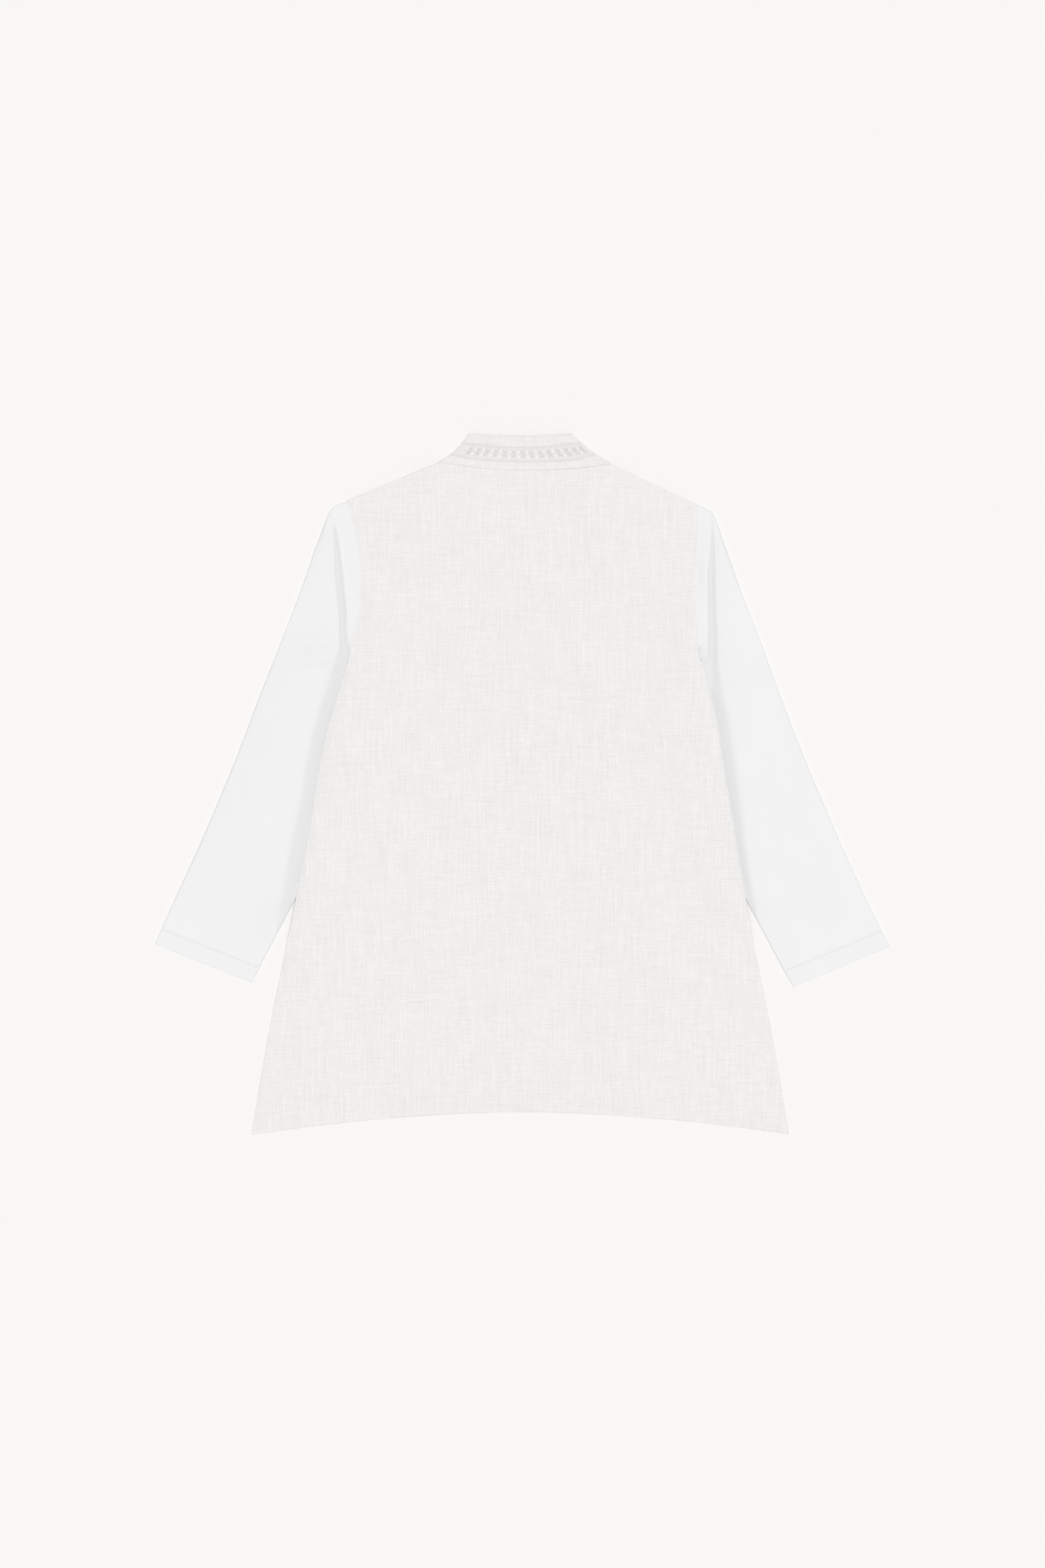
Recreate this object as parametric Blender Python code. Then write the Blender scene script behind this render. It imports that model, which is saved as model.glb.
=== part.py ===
"""An embroidered A-line tunic shirt, laid flat with its back side up.

X runs across the shirt, Y from hem to collar, and Z up from the surface it lies on. The sleeves lie under the
sides of the body, so the body's two panels rise over them there. Every height below is of cloth on cloth.
"""

import math
from collections import namedtuple

import bpy
import numpy as np

MM = 0.001

# Cloth and the gaps between its pieces, in millimetres like every size down to the materials
CLOTH = 1.2
GAP = 0.3
TRIM_CLOTH = 1.0
SLEEVE_FLAT = 2 * CLOTH + GAP
FOLD_RADIUS = SLEEVE_FLAT / 2
SLEEVE_LIFT = SLEEVE_FLAT + GAP
BAND_LIFT = TRIM_CLOTH + GAP

# Neck: where the collar's seam meets the shoulders, and the drops of the neckline at the back and the front
NECK_LEFT = (-95.0, 369.0)
NECK_RIGHT = (100.0, 367.0)
BACK_NECK_DROP = 7.8
FRONT_NECK_DROP = 80.0
FRONT_SLIT_END = 108.0
FRONT_SLIT_WIDTH = 1.5

# Collar: its upper edge at the two folds, and how deep its front half hangs
COLLAR_TOP_LEFT = (-60.0, 401.5)
COLLAR_TOP_RIGHT = (55.3, 401.5)
COLLAR_TOP_DIP = 2.5
COLLAR_FRONT_DROP = 75.0
COLLAR_BOW_LEFT = (2.1, -3.4)
COLLAR_BOW_RIGHT = (-1.4, -2.0)
COLLAR_BOW_REACH = 0.12
BAND_UPPER = (0.24, 0.325)
BAND_LOWER = (0.645, 0.76)
BAND_TURN = (2.6, 6.0)

# Hem: the arch rises from the side corners to the middle
HEM_MIDDLE = -376.5
HEM_DROP = 26.0
HEM_POWER = 1.8
HEM_BLEND = 6
SIDE_CROWDING = 2.0

# The body's outline, from the shoulder tips down the armhole seams and the side seams
SHOULDER_LEFT = (-202.5, 325.0)
SHOULDER_RIGHT = (200.5, 321.0)
MEETING_LEVEL = 141.0
HEM_LEVEL = HEM_MIDDLE - HEM_DROP
Level = namedtuple("Level", "y left right")
BODY_EDGES = (
    Level(325, -202.5, 200.5),
    Level(295, -193, 200.5),
    Level(250, -187, 198.8),
    Level(206, -188, 199),
    Level(165, -195, 201.5),
    Level(MEETING_LEVEL, -200.5, 206),
    Level(100, -213, 217),
    Level(67, -223, 224),
    Level(36, -230.5, 228),
    Level(-37, -242, 240),
    Level(-80, -250, 247),
    Level(-126, -259, 255),
    Level(-200, -274, 269),
    Level(-290, -292, 287),
    Level(HEM_LEVEL, -311, 306),
)

# The sleeves, in sections from the armhole to the cuff: each one's ends on the outer and the inner fold
Section = namedtuple("Section", "outer_left inner_left outer_right inner_right")
SLEEVE_SECTIONS = (
    Section((-202.5, 324), (-195, 70), (201, 320), (197, 68)),
    Section((-217.5, 317), (-197, 54), (216.5, 313), (199, 52)),
    Section((-234, 280), (-199.5, 37), (230.5, 279), (201.5, 35)),
    Section((-255, 220), (-206.5, 2), (252, 219), (208, 0)),
    Section((-278, 160), (-217, -34), (275, 159), (218, -36)),
    Section((-302, 100), (-230, -69), (297, 99), (231, -72)),
    Section((-324.5, 40), (-245, -102), (320, 39), (245, -108)),
    Section((-349, -20), (-263, -136), (345, -21), (261, -141)),
    Section((-375, -80), (-281, -170), (371, -81), (279, -174)),
    Section((-402.5, -140), (-298.5, -204), (399, -141), (297, -208)),
    Section((-422, -184), (-311, -228), (422, -187), (311, -233)),
)
SLEEVE_RINGS = (0, 0.2, 0.35, 0.5, 0.65, 0.8, 0.95, 1.1, 1.3, 1.5, 1.75, 2, 2.3, 2.7, 3.1, 3.6, 4.1, 4.7)
SLEEVE_RINGS += (5.3, 5.9, 6.5, 7.1, 7.7, 8.3, 9, 9.6, 10)
ARMHOLE_FADE = 1.6

# Heights of the soft shapes over the flat cloth, and how far they reach
BODY_PUFF = 0.9
BODY_PUFF_REACH = 60.0
HEM_PUFF = 0.15
SLEEVE_SWELL = 1.0
SWELL_POWER = 1.7
SWELL_CUFF = (12.0, 110.0)
SWELL_REACH = 12.0
CUFF_PITCH = (48.0, 27.0)
LIFT_FLAT = 17.0
LIFT_SLOPE = 34.0
LIFT_START = 262.0
LIFT_END = -138.0
LIFT_END_RATE = 0.55
NECK_CENTRE = (2.5, 345.0)
NECK_REACH = (107.0, 63.0)
NECK_SLOPE = 0.45
STRIP_FADE = (196.0, 160.0)
LIP_FADE = (149.0, 133.0)
EDGE_CLEAR = 4.0
VALLEY_SLOPE = 0.32
VALLEY_ROUND = 0.3

# The long valley in each sleeve: its middle outside the body's edge, how far its two slopes reach, and its floor
Valley = namedtuple("Valley", "y centre inner outer floor")
LEFT_VALLEY = (
    Valley(298, 22.5, 0.4, 0.4, 0),
    Valley(288, 23.7, 2.2, 2.2, 0),
    Valley(260, 25, 4, 4, 0),
    Valley(240, 23.8, 5, 5, 0),
    Valley(200, 18.3, 5, 5, 0.2),
    Valley(180, 14.5, 4.6, 4.6, 0.5),
    Valley(160, 8.5, 4.5, 6, 0.8),
    Valley(148, 3, 2.5, 12, 0.4),
    Valley(136, 0, 0.5, 18, 0),
    Valley(0, 0, 0.5, 20, 0),
    Valley(-60, 0, 0.5, 23, 0),
    Valley(-80, 0, 0.5, 24, 0),
    Valley(-130, 0, 0.5, 22, 0),
    Valley(-155, 0, 0.5, 19, 0),
    Valley(-190, 0, 0.5, 10, 0),
    Valley(-240, 0, 0.5, 2, 0),
)
RIGHT_VALLEY = (
    Valley(302, 17, 0.6, 0.6, 0),
    Valley(280, 18, 2, 2, 0),
    Valley(260, 18.8, 3.5, 3.5, 0),
    Valley(240, 18, 5, 5, 0),
    Valley(200, 18.3, 5, 5, 0.2),
    Valley(180, 18, 5.5, 5.5, 0.3),
    Valley(160, 16, 6, 6, 0.2),
    Valley(141, 12, 6, 6.5, 0),
    Valley(120, 7, 5, 8, 0),
    Valley(104, 1, 1, 13, 0),
    Valley(96, 0, 0.5, 15, 0),
    Valley(0, 0, 0.5, 16, 0),
    Valley(-60, 0, 0.5, 11, 0),
    Valley(-120, 0, 0.5, 9.5, 0),
    Valley(-160, 0, 0.5, 9, 0),
    Valley(-240, 0, 0.5, 2, 0),
)

# How finely the pieces are divided
ARMHOLE_ROWS = 9
SIDE_ROWS = 15
SHOULDER_COLUMNS = (0, 0.12, 0.25, 0.4, 0.56, 0.77, 1)
NECK_COLUMNS = 12
OPEN_POINTS = 22
COVERED_POINTS = 3
UNDERSIDE_POINTS = 13
OPEN_SHARE_MOST = 0.95
OPEN_CROWDING = 0.6
SMOOTH_ANGLE = 50.0
FOLD_STEPS = 4
COLLAR_ROWS = 5
BAND_ROWS = 2
COLLAR_BACK_COLUMNS = 12
COLLAR_FRONT_COLUMNS = NECK_COLUMNS // 2

# Materials: colour, roughness
IVORY_LINEN = ((0.86, 0.85, 0.83, 1), 0.85)
WHITE_JERSEY = ((0.88, 0.88, 0.88, 1), 0.75)
EMBROIDERY = ((0.79, 0.78, 0.76, 1), 0.65)


def soft_step(t):
    """0 below 0, 1 above 1, and a smooth rise between."""
    t = min(max(t, 0.0), 1.0)
    return t * t * (3 - 2 * t)


def mix(a, b, t):
    return tuple(p + (q - p) * t for p, q in zip(a, b))


def smooth_table(places, values, at):
    """A smooth curve through a table, by cubic pieces that don't overshoot."""
    places = np.asarray(places, float)
    values = np.asarray(values, float)
    slopes = np.diff(values) / np.diff(places)
    tangents = np.zeros(len(places))
    tangents[0], tangents[-1] = slopes[0], slopes[-1]
    for i in range(1, len(places) - 1):
        if slopes[i - 1] * slopes[i] > 0:
            tangents[i] = 2 * slopes[i - 1] * slopes[i] / (slopes[i - 1] + slopes[i])
    at = min(max(at, places[0]), places[-1])
    i = min(int(np.searchsorted(places, at, side="right")) - 1, len(places) - 2)
    width = places[i + 1] - places[i]
    t = (at - places[i]) / width
    return float(
        values[i] * (1 + 2 * t) * (1 - t) ** 2
        + values[i + 1] * t * t * (3 - 2 * t)
        + width * (tangents[i] * t * (1 - t) ** 2 - tangents[i + 1] * t * t * (1 - t))
    )


def body_edge(side, y):
    """How far from the middle line (x = 0) the body's edge lies at this level. side is -1 left, 1 right."""
    rows = BODY_EDGES[::-1]
    reach = [abs(row.left if side < 0 else row.right) for row in rows]
    return smooth_table([row.y for row in rows], reach, y)


def sleeve_end(side, place, at):
    """A point on the sleeve's 'outer' or 'inner' fold, at a section number that may lie between two rows."""
    name = place + ("_left" if side < 0 else "_right")
    points = [getattr(section, name) for section in SLEEVE_SECTIONS]
    numbers = range(len(points))
    return tuple(smooth_table(numbers, [point[axis] for point in points], at) for axis in (0, 1))


def covered_edge(side, y):
    """How far from x = 0 the sleeve starts at this level: at the armhole seam, then at its inner fold."""
    if y >= MEETING_LEVEL:
        return body_edge(side, y)
    folds = [sleeve_end(side, "inner", number) for number in range(len(SLEEVE_SECTIONS))][::-1]
    cuff, before = folds[:2]
    if y < cuff[1]:
        return abs(cuff[0] + (y - cuff[1]) * (cuff[0] - before[0]) / (cuff[1] - before[1]))
    levels = [fold[1] for fold in folds] + [MEETING_LEVEL]
    reach = [abs(fold[0]) for fold in folds] + [body_edge(side, MEETING_LEVEL)]
    return float(np.interp(y, levels, reach))


def rise(x, y):
    """How high the underside of the lower panel lies, over the sleeves and the collar's front half."""
    side = -1 if x < 0 else 1
    inwards = covered_edge(side, y) - abs(x) + LIFT_END_RATE * max(0.0, LIFT_END - y)
    over_sleeve = SLEEVE_LIFT * (1 - soft_step((inwards - LIFT_FLAT) / LIFT_SLOPE))
    over_sleeve *= soft_step((LIFT_START - y) / (LIFT_START - MEETING_LEVEL))
    away = math.hypot((x - NECK_CENTRE[0]) / NECK_REACH[0], (y - NECK_CENTRE[1]) / NECK_REACH[1])
    over_collar = BAND_LIFT * (1 - soft_step((away - 1) / NECK_SLOPE))
    return max(over_sleeve, over_collar)


def hem_level(x):
    half_width = -BODY_EDGES[-1].left
    return HEM_MIDDLE - HEM_DROP * min(abs(x) / half_width, 1) ** HEM_POWER


def armhole_levels(side):
    top = SHOULDER_LEFT[1] if side < 0 else SHOULDER_RIGHT[1]
    return [top + (MEETING_LEVEL - top) * i / ARMHOLE_ROWS for i in range(ARMHOLE_ROWS + 1)]


def side_points(side):
    """The body's edge from shoulder tip to hem corner, one point for each row of a panel."""
    levels = armhole_levels(side)
    levels += [MEETING_LEVEL + (HEM_LEVEL - MEETING_LEVEL) * i / SIDE_ROWS for i in range(1, SIDE_ROWS + 1)]
    return [(side * body_edge(side, y), y) for y in levels]


def back_neck(t):
    x, y = mix(NECK_LEFT, NECK_RIGHT, t)
    return x, y - BACK_NECK_DROP * 4 * t * (1 - t)


def front_neck(t, inset=0.0):
    """The front neckline: half an ellipse that leaves each shoulder straight down."""
    middle = mix(NECK_LEFT, NECK_RIGHT, 0.5)
    half_width = (NECK_RIGHT[0] - NECK_LEFT[0]) / 2 - inset
    corner_height = mix(NECK_LEFT, NECK_RIGHT, t)[1]
    angle = math.pi * t
    return middle[0] - half_width * math.cos(angle), corner_height - (FRONT_NECK_DROP - inset) * math.sin(angle)


def neck_shares(slit):
    """Places along the neckline, 0 to 1. With a slit, its two sides take the place of the middle."""
    shares = [i / NECK_COLUMNS for i in range(NECK_COLUMNS + 1)]
    if slit:
        half_slit = FRONT_SLIT_WIDTH / 2 / (math.pi * (NECK_RIGHT[0] - NECK_LEFT[0]) / 2)
        shares[NECK_COLUMNS // 2 : NECK_COLUMNS // 2 + 1] = [0.5 - half_slit, 0.5 + half_slit]
    return shares


def panel_plan(neckline, slit):
    """A panel's points in plan, row by row, spread between its shoulders and neck, its sides and its hem."""
    shoulder_left = [mix(SHOULDER_LEFT, NECK_LEFT, t) for t in SHOULDER_COLUMNS]
    shoulder_right = [mix(NECK_RIGHT, SHOULDER_RIGHT, 1 - t) for t in SHOULDER_COLUMNS[::-1]]
    top = shoulder_left[:-1] + [neckline(t) for t in neck_shares(slit)] + shoulder_right[1:]
    width = SHOULDER_RIGHT[0] - SHOULDER_LEFT[0]
    across = [(point[0] - SHOULDER_LEFT[0]) / width for point in top]
    left, right = side_points(-1), side_points(1)
    rows = []
    for start, end in zip(left, right):
        down = (left[0][1] - start[1]) / (left[0][1] - left[-1][1])
        row = []
        for share, above in zip(across, top):
            straight_top = mix(left[0], right[0], share)
            straight_hem = mix(left[-1], right[-1], share)
            x, y = mix(start, end, share)
            power = 1 + SIDE_CROWDING * (1 - down) ** 4
            x += (start[0] - left[0][0]) * ((1 - share) ** power - (1 - share))
            x += (end[0] - right[0][0]) * (share**power - share)
            x += (1 - down) * (above[0] - straight_top[0])
            y += (1 - down) * (above[1] - straight_top[1])
            y += down**HEM_BLEND * (hem_level(straight_hem[0]) - straight_hem[1])
            row.append((x, y))
        rows.append(row)
    return rows


def puff(x, y, neck_side):
    """How far the upper panel stands off the lower one, nothing at the seams and most in the middle."""
    side = -1 if x < 0 else 1
    from_side = (body_edge(side, y) - abs(x)) / BODY_PUFF_REACH
    from_hem = (y - hem_level(x)) / BODY_PUFF_REACH
    from_top = (neck_side - y) / BODY_PUFF_REACH
    return BODY_PUFF * soft_step(from_side) * soft_step(HEM_PUFF + from_hem) * soft_step(from_top)


def wall_object(name, outer, inner, missing=(), around=False):
    """A closed wall between two grids of points: outer on the side that faces out, inner behind it.

    missing holds the (row, column) of cells that are left out. around joins the last column to the first.
    """
    rows, columns = len(outer), len(outer[0])
    points = [point for grid in (outer, inner) for row in grid for point in row]
    behind = rows * columns
    faces = []
    edges = set()
    for i in range(rows - 1):
        for j in range(columns if around else columns - 1):
            if (i, j) in missing:
                continue
            k = (j + 1) % columns
            a, b, c, d = i * columns + j, (i + 1) * columns + j, (i + 1) * columns + k, i * columns + k
            for corners in ((a, b, c), (a, c, d)):
                faces.append(corners)
                faces.append([behind + corner for corner in corners[::-1]])
            edges.update([(a, b), (b, c), (c, d), (d, a)])
    rim = [(a, b) for a, b in sorted(edges) if (b, a) not in edges]
    faces += [(b, a, behind + a, behind + b) for a, b in rim]
    used = sorted({corner for face in faces for corner in face})
    number = {old: new for new, old in enumerate(used)}
    mesh = bpy.data.meshes.new(name)
    origin = np.mean([points[i] for i in used], axis=0) * (1, 1, 0)
    placed = [tuple((np.array(points[i]) - origin) * MM) for i in used]
    mesh.from_pydata(placed, [], [[number[corner] for corner in face] for face in faces])
    mesh.shade_smooth()
    mesh.set_sharp_from_angle(angle=math.radians(SMOOTH_ANGLE))
    thing = bpy.data.objects.new(name, mesh)
    thing.location = origin * MM
    bpy.context.scene.collection.objects.link(thing)
    return thing


def make_front_panel():
    plan = panel_plan(front_neck, slit=True)
    lower = [[(x, y, rise(x, y)) for x, y in row] for row in plan]
    upper = [[(x, y, z + CLOTH) for x, y, z in row] for row in lower]
    slit_column = len(SHOULDER_COLUMNS) - 1 + NECK_COLUMNS // 2
    missing = {(i, slit_column) for i, row in enumerate(plan[:-1]) if row[slit_column][1] > FRONT_SLIT_END}
    return wall_object("front_panel", upper, lower, missing)


def make_back_panel():
    lower = []
    plan = panel_plan(back_neck, slit=False)
    for row in plan:
        heights = [rise(x, y) + CLOTH + GAP + puff(x, y, top[1]) for (x, y), top in zip(row, plan[0])]
        lower.append([(x, y, z) for (x, y), z in zip(row, heights)])
    upper = [[(x, y, z + CLOTH) for x, y, z in row] for row in lower]
    return wall_object("back_panel", upper, lower)


def facet(distance, width):
    """A ramp from 0 at the crease to 1 a width away, straight but for its rounded top."""
    t = distance / width
    if t < 1 - VALLEY_ROUND:
        return max(t, 0.0)
    if t < 1 + VALLEY_ROUND:
        return 1 - (1 + VALLEY_ROUND - t) ** 2 / (4 * VALLEY_ROUND)
    return 1.0


def outer_fold(side, y):
    """How far from x = 0 the sleeve's outer fold lies at this level."""
    folds = [sleeve_end(side, "outer", number) for number in range(len(SLEEVE_SECTIONS))][::-1]
    cuff, before = folds[:2]
    if y < cuff[1]:
        return abs(cuff[0] + (y - cuff[1]) * (cuff[0] - before[0]) / (cuff[1] - before[1]))
    return smooth_table([fold[1] for fold in folds], [abs(fold[0]) for fold in folds], y)


def sleeve_extra(side, x, y, from_cuff):
    """How far the sleeve's upper layer stands over its flat height: a long valley by the body, and a soft swell."""
    rows = (LEFT_VALLEY if side < 0 else RIGHT_VALLEY)[::-1]
    levels = [row.y for row in rows]
    centre, inner, outer, floor = [smooth_table(levels, [row[i] for row in rows], y) for i in range(1, 5)]
    edge = body_edge(side, y)
    outwards = abs(x) - edge
    if outwards >= centre:
        clear = EDGE_CLEAR * soft_step((LIP_FADE[0] - y) / (LIP_FADE[0] - LIP_FADE[1]))
        start = centre + max(covered_edge(side, y) - edge, 0) + clear
        width = max(centre + outer - start, 0.05)
        away = max(outwards - start, 0)
        fold = outer_fold(side, y)
        inside = min(max((fold - abs(x)) / (fold - edge - centre - outer), 0), 1)
        dome = (1 - (1 - inside) ** SWELL_POWER) * VALLEY_SLOPE * width * facet(away, width)
        swell = SLEEVE_SWELL * math.sin(math.pi * inside) * soft_step(away / SWELL_REACH)
        before_cuff = soft_step((from_cuff - SWELL_CUFF[0]) / (SWELL_CUFF[1] - SWELL_CUFF[0]))
        return floor + (dome + swell) * before_cuff
    if outwards < 0:
        return 0.0
    seam = rise(side * edge, y) * (1 - soft_step((STRIP_FADE[0] - y) / (STRIP_FADE[0] - STRIP_FADE[1])))
    lip = (floor + VALLEY_SLOPE * inner) * (1 - soft_step((LIP_FADE[0] - y) / (LIP_FADE[0] - LIP_FADE[1])))
    inwards = centre - outwards
    blend = soft_step((inwards - inner) / max(centre - inner, 0.5))
    return floor + (lip - floor) * facet(inwards, inner) + (seam - lip) * blend


def armhole_point(side, share):
    """The sleeve's own edge at the armhole, a seam gap outside the body's, then on under the body."""
    levels = armhole_levels(side)[::-1]
    last = sleeve_end(side, "inner", 0)
    y = levels[-1] + (last[1] - levels[-1]) * share
    line = [body_edge(side, level) + GAP for level in levels]
    if y >= MEETING_LEVEL:
        return side * float(np.interp(y, levels, line)), y
    return mix((side * line[0], MEETING_LEVEL), last, (MEETING_LEVEL - y) / (MEETING_LEVEL - last[1]))


def ring_point(side, at, share):
    """A point of a sleeve's ring in plan, from its outer fold (0) to its inner fold (1)."""
    straight = mix(sleeve_end(side, "outer", at), sleeve_end(side, "inner", at), share)
    chord = mix(sleeve_end(side, "outer", 0), sleeve_end(side, "inner", 0), share)
    armhole = armhole_point(side, share)
    keep = max(0.0, 1 - at / ARMHOLE_FADE) ** 2
    return tuple(straight[axis] + keep * (armhole[axis] - chord[axis]) for axis in (0, 1))


def open_share(side, at):
    """The share of a ring at which it goes under the body's edge."""
    low, high = 0.0, 1.0
    while high - low > 0.0005:
        share = (low + high) / 2
        x, y = ring_point(side, at, share)
        if abs(x) > body_edge(side, y) + GAP / 2:
            low = share
        else:
            high = share
    return min(low, OPEN_SHARE_MOST)


def ring_shares(side, at):
    """Places across the upper layer: crowded towards the body's edge, then a few under the body."""
    end = open_share(side, at)
    power = 1 + OPEN_CROWDING * soft_step(at / 2)
    seen = [end * (1 - (1 - i / OPEN_POINTS) ** power) for i in range(OPEN_POINTS + 1)]
    return seen + [end + (1 - end) * i / COVERED_POINTS for i in range(1, COVERED_POINTS + 1)]


def layer_plan(side, at, shares, along):
    """One layer of a ring in plan. Its two ends keep clear of the round folds."""
    plan = [ring_point(side, at, share) for share in shares]
    inset = FOLD_RADIUS if at > 0 else 0.0
    plan[0] = tuple(np.array(plan[0]) + along * inset)
    plan[-1] = tuple(np.array(plan[-1]) - along * inset)
    return plan


def fold_points(end, direction, downwards):
    """Points round a fold, on its outer and its inner face."""
    middle = FOLD_RADIUS - CLOTH / 2
    faces = ([], [])
    for step in range(1, FOLD_STEPS):
        angle = math.pi * step / FOLD_STEPS
        up = math.cos(angle) if downwards else -math.cos(angle)
        for face, radius in zip(faces, (middle + CLOTH / 2, middle - CLOTH / 2)):
            aside = radius * math.sin(angle)
            face.append((end[0] + direction[0] * aside, end[1] + direction[1] * aside, FOLD_RADIUS + radius * up))
    return faces


def sleeve_ring(side, at):
    """One ring of the sleeve: points of its outer and inner face, over the top, round the inner fold and back."""
    along = np.subtract(sleeve_end(side, "inner", at), sleeve_end(side, "outer", at))
    along /= np.linalg.norm(along)
    shares = ring_shares(side, at)
    upper = layer_plan(side, at, shares, along)
    lower = layer_plan(side, at, [i / (UNDERSIDE_POINTS - 1) for i in range(UNDERSIDE_POINTS)], along)[::-1]
    extras = []
    for share, (x, y) in zip(shares, upper):
        from_cuff = (SLEEVE_RINGS[-1] - at) * (CUFF_PITCH[0] + (CUFF_PITCH[1] - CUFF_PITCH[0]) * share)
        extras.append(sleeve_extra(side, x, y, from_cuff))
    extras[0] = extras[-1] = 0.0
    inner_fold = fold_points(upper[-1], along, downwards=True)
    outer_fold_points = fold_points(upper[0], -along, downwards=False)
    outside = [(x, y, SLEEVE_FLAT + extra) for (x, y), extra in zip(upper, extras)] + inner_fold[0]
    inside = [(x, y, SLEEVE_FLAT + extra - CLOTH) for (x, y), extra in zip(upper, extras)] + inner_fold[1]
    outside += [(x, y, 0.0) for x, y in lower] + outer_fold_points[0]
    inside += [(x, y, CLOTH) for x, y in lower] + outer_fold_points[1]
    return outside, inside


def make_sleeve(side, name):
    rings = [sleeve_ring(side, at) for at in SLEEVE_RINGS]
    outer = [ring[0] for ring in rings]
    inner = [ring[1] for ring in rings]
    if side > 0:
        outer, inner = [row[::-1] for row in outer], [row[::-1] for row in inner]
    return wall_object(name, outer, inner, around=True)


def collar_stations():
    """Along the strip, from the front's left end over the back to its right end: seam, top edge, normal, bow."""
    low = BAND_LIFT + CLOTH / 2
    high = low + CLOTH + GAP
    turn = (high - low) / 2
    shares = neck_shares(slit=True)
    middle = mix(COLLAR_TOP_LEFT, COLLAR_TOP_RIGHT, 0.5)
    half_width = (COLLAR_TOP_RIGHT[0] - COLLAR_TOP_LEFT[0]) / 2

    def front(t):
        seam = front_neck(t, inset=GAP)
        angle = math.pi * t
        edge = (middle[0] - half_width * math.cos(angle), middle[1] - COLLAR_FRONT_DROP * math.sin(angle))
        return seam, edge

    def bow_at(t):
        near = math.exp(-((min(t, 1 - t) / COLLAR_BOW_REACH) ** 2))
        most = COLLAR_BOW_LEFT if t < 0.5 else COLLAR_BOW_RIGHT
        return most[0] * near, most[1] * near

    def fold(seam, edge, side, from_low):
        axis = np.subtract(edge, seam)
        axis /= np.linalg.norm(axis)
        out = np.array((-axis[1], axis[0]))
        out *= side if out[0] > 0 else -side
        found = []
        for step in range(1, FOLD_STEPS):
            angle = math.pi * step / FOLD_STEPS
            up = -math.cos(angle) if from_low else math.cos(angle)
            normal = (out[0] * math.sin(angle), out[1] * math.sin(angle), up)
            shift = out * turn * math.sin(angle)
            found.append((seam + shift, edge + shift, low + turn + turn * up, normal, bow_at(0 if side < 0 else 1)))
        return found

    stations = []
    for t in shares[: COLLAR_FRONT_COLUMNS + 1][::-1]:
        seam, edge = front(t)
        stations.append((seam, edge, low, (0, 0, -1), bow_at(t)))
    stations += fold(*front(0), -1, True)
    for i in range(COLLAR_BACK_COLUMNS + 1):
        t = i / COLLAR_BACK_COLUMNS
        x, y = back_neck(t)
        top_x, top_y = mix(COLLAR_TOP_LEFT, COLLAR_TOP_RIGHT, t)
        edge = (top_x, top_y - COLLAR_TOP_DIP * 4 * t * (1 - t))
        stations.append(((x, y + GAP), edge, high, (0, 0, 1), bow_at(t)))
    stations += fold(*front(1), 1, False)
    for t in shares[COLLAR_FRONT_COLUMNS + 1 :][::-1]:
        seam, edge = front(t)
        stations.append((seam, edge, low, (0, 0, -1), bow_at(t)))
    return stations


def collar_rows(offset, first, last, rows):
    """Points across the collar between two shares of its height, moved out of its middle surface by offset.

    first and last each hold the share at the folds and at the middle of the back and front. BAND_TURN says how
    soon they change from the one to the other.
    """
    grid = []
    stations = collar_stations()
    for seam, edge, z, normal, bow in stations:
        middle_share = min(abs(seam[0] - NECK_LEFT[0]), abs(NECK_RIGHT[0] - seam[0])) / (NECK_RIGHT[0] - NECK_LEFT[0])
        start = first[0] + (first[1] - first[0]) * soft_step(BAND_TURN[0] * middle_share)
        end = last[0] + (last[1] - last[0]) * soft_step(BAND_TURN[1] * middle_share)
        row = []
        for i in range(rows + 1):
            share = start + (end - start) * i / rows
            x, y = mix(edge, seam, share)
            swell = math.sin(math.pi * share)
            x, y = x + bow[0] * swell, y + bow[1] * swell
            row.append((x + normal[0] * offset, y + normal[1] * offset, z + normal[2] * offset))
        grid.append(row)
    return grid


def make_collar():
    outer = collar_rows(CLOTH / 2, (0, 0), (1, 1), COLLAR_ROWS)
    inner = collar_rows(-CLOTH / 2, (0, 0), (1, 1), COLLAR_ROWS)
    return wall_object("collar", inner, outer)


def make_collar_band():
    """The trim lies on the collar, from the collar's own points moved out."""
    outer = collar_rows(CLOTH / 2 + GAP + TRIM_CLOTH, BAND_UPPER, BAND_LOWER, BAND_ROWS)
    inner = collar_rows(CLOTH / 2 + GAP, BAND_UPPER, BAND_LOWER, BAND_ROWS)
    return wall_object("collar_band", inner, outer)


def cloth_material(name, finish):
    colour, roughness = finish
    material = bpy.data.materials.new(name)
    material.use_nodes = True
    shader = material.node_tree.nodes["Principled BSDF"]
    shader.inputs["Base Color"].default_value = colour
    shader.inputs["Roughness"].default_value = roughness
    shader.inputs["Metallic"].default_value = 0.0
    return material


def main():
    for thing in list(bpy.data.objects):
        bpy.data.objects.remove(thing)
    shirt = bpy.data.objects.new("shirt", None)
    bpy.context.scene.collection.objects.link(shirt)
    linen = cloth_material("ivory_linen", IVORY_LINEN)
    jersey = cloth_material("white_jersey", WHITE_JERSEY)
    embroidery = cloth_material("embroidery", EMBROIDERY)
    pieces = (
        (make_front_panel(), linen),
        (make_back_panel(), linen),
        (make_sleeve(-1, "sleeve_left"), jersey),
        (make_sleeve(1, "sleeve_right"), jersey),
        (make_collar(), linen),
        (make_collar_band(), embroidery),
    )
    for piece, material in pieces:
        piece.data.materials.append(material)
        piece.parent = shirt


main()
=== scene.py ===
"""The looks of the embroidered shirt, laid flat with its back side up.

Sizes are in millimetres, as X across, Y from hem to collar and Z up, until a mesh is made. The plan and the
heights repeat the part's own tables, so that every thin shell lies on its solid.
"""

import math
from collections import namedtuple

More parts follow.
